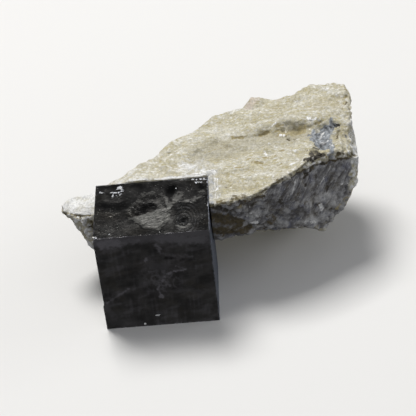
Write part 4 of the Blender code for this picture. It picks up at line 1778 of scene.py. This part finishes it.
    def masks(self, points: Points, zone: Zones, fine: Values, wander: Values) -> Zones:
        """Work out the masks that the finish reads.

        Args:
            points: vertices of the skin.
            zone: kind of surface.
            fine: small unevenness.
            wander: how far borders stray.

        Returns:
            One mask for each name.
        """
        x, y, z = points.T
        top, front, end, fringe = (zone[name] for name in ("top", "front", "end", "fringe"))
        below_tip = zone["tip"] * (1.0 - top)
        belly = ramp(z + 2.0 * wander - 0.2 * (x - 30.0), 10.0, 7.0)
        halo = np.hypot((x - self.knoll[0]) / 1.6, y - self.knoll[1]) + 1.5 * wander
        apart = ramp(zone["contact"] + 0.45 * wander, 1.0, 0.45) * ramp(x, 9.0, 10.0)
        lines = ramp(self.fringe_lines(zone["contact"], points) + 0.5 * wander, 0.0, -0.7) * fringe
        low, middle, high = np.quantile(fine[front > 0.9], (0.05, 0.5, 0.95))
        sunk, raised = ramp(fine, middle, low), ramp(fine, middle, high)
        # Painted shade under the brink: the undercut darkens the break just below it, and the lip lays a
        # brown band along it.
        undercut = ramp(zone["brink"] + 0.6 * wander, 0.75, 0.2) * front
        gap = zone["drop"] + 0.95 + 0.45 * wander
        lip = ramp(gap, 0.05, 0.4) * ramp(gap, 1.2, 0.7) * ramp(zone["brink"], 1.3, 0.8)
        lip *= ramp(np.abs(x - self.lip_gap), 1.5, 1.9) * ramp(wander, -0.6, 0.1)
        rim = fringe * (0.85 - 0.50 * lines - 0.36 * apart - 0.16 * ramp(x, 9.0, 11.0))
        paler = top * (0.42 * ramp(x, 18.0, -4.0) + 0.26 * ramp(halo, 3.4, 0.5))
        # Besides real colour, these masks paint shade under the brink and in the hollows, and light on the
        # crests, of the tip's underside and the broad end.
        layers = {
            "fresh": (front * zone["right"] * (1.0 - 0.8 * end) * (1.0 - 0.6 * belly),),
            "earth": (
                0.30 * lines, 0.75 * undercut, 0.62 * lip, 0.60 * end * sunk,
                0.72 * below_tip * ramp(fine, 0.02, -0.20),
            ),
            "ochre": (0.25 * front * belly, 0.40 * lip, 0.46 * end * ramp(wander, 0.0, 0.5)),
            "slate": (
                0.85 * zone["vein"], 0.46 * lines, 0.42 * fringe * apart, 0.36 * top * ramp(halo, 2.8, 1.0),
            ),
            "chalk": (
                rim, 0.62 * zone["tip"] * top, 0.80 * below_tip * ramp(fine, 0.0, 0.25),
                0.66 * end * raised, paler,
            ),
            "ash": (0.90 * fringe, 0.55 * top * ramp(halo, 4.0, 1.0)),
            "hollow": (sunk, 0.90 * undercut),
            "crest": (raised,),
            "soot": (),
            "blush": (),
            "dull": (),
        }
        bare = np.zeros(len(points))
        return {name: np.maximum.reduce((bare, *shares)) for name, shares in layers.items()}

    def build(self, material: Material) -> Piece:
        """Model and dress the stone.

        Args:
            material: the marl finish.

        Returns:
            The finished piece.
        """
        piece = self.blank()
        points, normals = read_points(piece), read_rows(piece.data.vertex_normals, "vector")
        wander = Grain(1.4, 3).layered(points, 4)
        zone = self.zones(points, normals, wander)
        fine = self.fine_relief(points, zone)
        height = fine + self.coarse_relief(points, zone, wander)
        masks = self.masks(points, zone, fine, wander)
        breaks = ramp(Grain(0.7, 13).layered(points, 3, 0.7), -0.35, 0.10)
        above = ramp(normals[:, 2], 0.05, 0.35) * ramp(points[:, 2], 14.0, 15.0)
        before = ramp(normals[:, 1], 0.45, 0.10) * ramp(normals[:, 2], 0.93, 0.80) * zone["seen"]
        for marks, axes, seen in ((TOP_MARKS, (0, 1), above), (FRONT_MARKS, (0, 2), before)):
            for mark in marks:
                share = mark.share(points[:, axes], wander, breaks) * seen
                height += mark.height * share
                if mark.tint is not Tint.PLAIN:
                    name = mark.tint.value
                    masks[name] = np.maximum(masks[name], mark.strength * share)
        moved = points + normals * height[:, None] + self.close_seat(points)
        foot = points[:, 2] < self.foot
        moved[foot] = points[foot]
        write_points(piece, moved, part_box(self.node))
        for name, values in masks.items():
            write_mask(piece, name, values)
        piece.data.materials.append(material)
        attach(piece, BODY)
        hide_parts(self.node)
        return piece


# ---------------------------------------------------------------- crumbs on the crystal


class Crumb(NamedTuple):
    """One bit of marl.

    Attributes:
        place: its middle.
        size: its length, width and height.
    """

    place: Triple
    size: Triple


@dataclass
class Crumbs:
    """Bits of pale marl that cling to the crystal.

    Attributes:
        facets: size of their facets.
        lumps: size of their lumps.
        tints: what the marl's finish lays on them, and how much of it.
        spots: each crumb's place and size.
    """

    facets: float = 0.34
    lumps: float = 0.42
    tints: tuple[tuple[Tint, float], ...] = ((Tint.CHALK, 0.50), (Tint.SLATE, 0.75))
    spots: tuple[Crumb, ...] = (
        Crumb((-5.7, 6.2, 20.82), (0.70, 0.60, 0.26)),
        Crumb((-5.3, 5.7, 20.80), (0.36, 0.40, 0.18)),
        Crumb((-7.0, 5.1, 20.80), (0.55, 0.26, 0.18)),
        Crumb((-6.3, 4.9, 20.80), (0.34, 0.30, 0.16)),
        Crumb((-6.9, 4.1, 20.80), (0.22, 0.45, 0.14)),
        Crumb((-5.6, 4.3, 20.80), (0.26, 0.30, 0.14)),
        Crumb((-8.9, 5.3, 20.80), (0.50, 0.18, 0.10)),
        Crumb((8.3, 6.1, 20.80), (0.40, 0.24, 0.14)),
        Crumb((9.3, 6.8, 20.80), (0.40, 0.26, 0.16)),
        Crumb((4.3, 4.8, 20.80), (0.22, 0.22, 0.16)),
        Crumb((9.8, -0.8, 20.76), (0.18, 0.30, 0.14)),
        Crumb((-7.1, -6.5, 20.80), (0.24, 0.20, 0.14)),
        Crumb((-9.8, -7.0, 20.74), (0.34, 0.24, 0.16)),
        Crumb((1.5, -7.0, 20.80), (0.20, 0.18, 0.12)),
        Crumb((-0.9, -7.42, 2.3), (0.66, 0.16, 0.36)),
        Crumb((-3.3, -7.40, 0.5), (0.42, 0.16, 0.36)),
        Crumb((-4.9, -7.42, 0.1), (0.40, 0.12, 0.18)),
        Crumb((2.0, -7.42, 0.1), (0.26, 0.12, 0.16)),
    )

    def one(self, number: int, spot: Crumb) -> Piece:
        """Model one crumb.

        Args:
            number: its place in the list, which gives it its own shape.
            spot: where and how big it is.

        Returns:
            The crumb.
        """
        place = np.array(spot.place)
        bpy.ops.mesh.primitive_ico_sphere_add(subdivisions=3, radius=0.5 * MM)
        crumb = bpy.context.object
        away = read_points(crumb)
        apart = away + 5.0 * number
        lumps = Grain(self.lumps, 200 + number).layered(apart, 2)
        facets = Grain(self.facets, 300 + number).cells(apart).facet
        grown = place + away * np.array(spot.size) * (1.0 + 0.55 * lumps + 0.45 * facets)[:, None]
        write_points(crumb, grown, CAD_BOX)
        return crumb

    def build(self, material: Material) -> Piece:
        """Model all crumbs as one piece and dress it.

        Args:
            material: the marl finish.

        Returns:
            The finished piece.
        """
        made = [self.one(number, spot) for number, spot in enumerate(self.spots)]
        piece = made[0]
        pick_only(piece)
        for crumb in made:
            crumb.select_set(True)
        bpy.ops.object.join()
        piece.name = piece.data.name = "marl_crumbs"
        for tint, share in self.tints:
            write_mask(piece, tint.value, np.full(len(piece.data.vertices), share))
        piece.data.materials.append(material)
        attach(piece, BODY)
        return piece


# ---------------------------------------------------------------- studio


class Softbox(NamedTuple):
    """A square soft light.

    Attributes:
        name: its name.
        place: where it hangs, in metres.
        size: its side, in metres.
        power: its power, in watts.
        color: its tint.
    """

    name: str
    place: Triple
    size: float
    power: float
    color: Triple


@dataclass
class Studio:
    """Floor, light and camera.

    Attributes:
        camera_place: the lens, in millimetres.
        azimuth: direction of sight, in degrees from straight back, towards +X.
        elevation: height of the lens over the horizon, in degrees.
        roll: turn of the camera about its line of sight, in degrees.
        lens: focal length, in millimetres.
        film: width of the camera's frame, in millimetres.
        floor_size: side of the table top, in metres.
        sky: the room's light from straight above.
        horizon: its light from the sides.
        ground: its light from below.
        behind: share of that light that comes from the far side.
        backdrop: what the camera sees past the table top.
        target: what the soft lights look at, in metres.
        softboxes: the soft lights.
    """

    camera_place: Triple = (21.2, -212.7, 187.5)
    azimuth: float = -3.07
    elevation: float = 38.24
    roll: float = -6.63
    lens: float = 135.0
    film: float = 36.0
    floor_size: float = 3.0
    sky: Triple = (0.26, 0.265, 0.28)
    horizon: Triple = (0.20, 0.204, 0.215)
    ground: Triple = (0.150, 0.150, 0.155)
    behind: float = 0.45
    backdrop: Triple = (0.72, 0.72, 0.71)
    target: Triple = (0.01, 0.008, 0.012)
    softboxes: tuple[Softbox, ...] = (
        Softbox("key", (-0.14, 0.27, 0.74), 0.30, 6.3, (1.0, 0.99, 0.975)),
        Softbox("fill", (0.45, -0.70, 0.45), 0.8, 1.35, (0.97, 0.98, 1.0)),
        Softbox("rim", (0.62, 0.12, 0.24), 0.30, 0.85, (0.97, 0.98, 1.0)),
        Softbox("side", (-0.60, -0.30, 0.16), 0.40, 0.55, (1.0, 0.99, 0.97)),
    )

    def camera(self) -> None:
        """Place the camera and make it the scene's."""
        data = bpy.data.cameras.new("camera")
        data.lens = self.lens
        data.sensor_width = self.film
        data.clip_start = 0.01
        data.clip_end = 20.0
        camera = bpy.data.objects.new("camera", data)
        bpy.context.scene.collection.objects.link(camera)
        aim = Matrix.Rotation(-math.radians(self.azimuth), 4, "Z")
        aim = aim @ Matrix.Rotation(math.radians(90.0 - self.elevation), 4, "X")
        aim = aim @ Matrix.Rotation(math.radians(self.roll), 4, "Z")
        camera.matrix_world = Matrix.Translation(Vector(self.camera_place) * MM) @ aim
        bpy.context.scene.camera = camera

    def floor(self, material: Material) -> None:
        """Lay the table top, which throws no light back on the specimen.

        Args:
            material: the table top's finish.
        """
        bpy.ops.mesh.primitive_plane_add(size=self.floor_size, location=(0.0, 0.0, 0.0))
        floor = bpy.context.object
        floor.name = "table_top"
        floor.data.materials.append(material)
        floor.visible_diffuse = False
        floor.visible_glossy = False

    def hang(self, box: Softbox) -> None:
        """Hang a soft light that looks at the specimen.

        Args:
            box: the light.
        """
        data = bpy.data.lights.new(box.name, "AREA")
        data.shape = "SQUARE"
        data.size = box.size
        data.energy = box.power
        data.color = box.color
        light = bpy.data.objects.new(box.name, data)
        bpy.context.scene.collection.objects.link(light)
        light.location = box.place
        sight = Vector(self.target) - Vector(box.place)
        light.rotation_euler = sight.to_track_quat("-Z", "Y").to_euler()

    def room(self) -> None:
        """Fill the room with faint light, brighter above than below."""
        world = bpy.data.worlds.new("room")
        world.use_nodes = True
        shade = Shading(world.node_tree)
        background = world.node_tree.nodes["Background"]
        split = shade.node("ShaderNodeSeparateXYZ")
        shade.feed(split.inputs["Vector"], shade.node("ShaderNodeTexCoord").outputs["Generated"])
        up = split.outputs["Z"]
        light = shade.mix(shade.span(up, -0.5, 0.1), self.ground, self.horizon)
        light = shade.mix(shade.span(up, 0.1, 0.9), light, self.sky)
        dim = shade.span(split.outputs["Y"], -0.1, 0.6, 0.0, 1.0 - self.behind)
        light = shade.mix(dim, light, (0.0, 0.0, 0.0))
        seen = shade.node("ShaderNodeLightPath").outputs["Is Camera Ray"]
        shade.feed(background.inputs["Color"], shade.mix(seen, light, self.backdrop))
        bpy.context.scene.world = world

    def build(self, floor_material: Material) -> None:
        """Set up the whole studio.

        Args:
            floor_material: the table top's finish.
        """
        self.camera()
        self.floor(floor_material)
        for box in self.softboxes:
            self.hang(box)
        self.room()
        bpy.context.scene.view_settings.view_transform = "Standard"


# ---------------------------------------------------------------- main


def main() -> None:
    """Build every piece in order and report each."""
    logging.basicConfig(level=logging.INFO, format="%(name)s: %(message)s")
    bpy.ops.object.select_all(action="DESELECT")
    grain = mineral_grain_group()
    pyrite = PyriteFinish().build(grain)
    marl = MarlFinish().build(grain)
    Studio().build(FloorFinish().build())
    pieces = (
        Stone().build(marl),
        Crystal().build(pyrite),
        Crumbs().build(marl),
    )
    for piece in pieces:
        log.info("%s: %d faces", piece.name, len(piece.data.polygons))


if __name__ == "__main__":
    main()
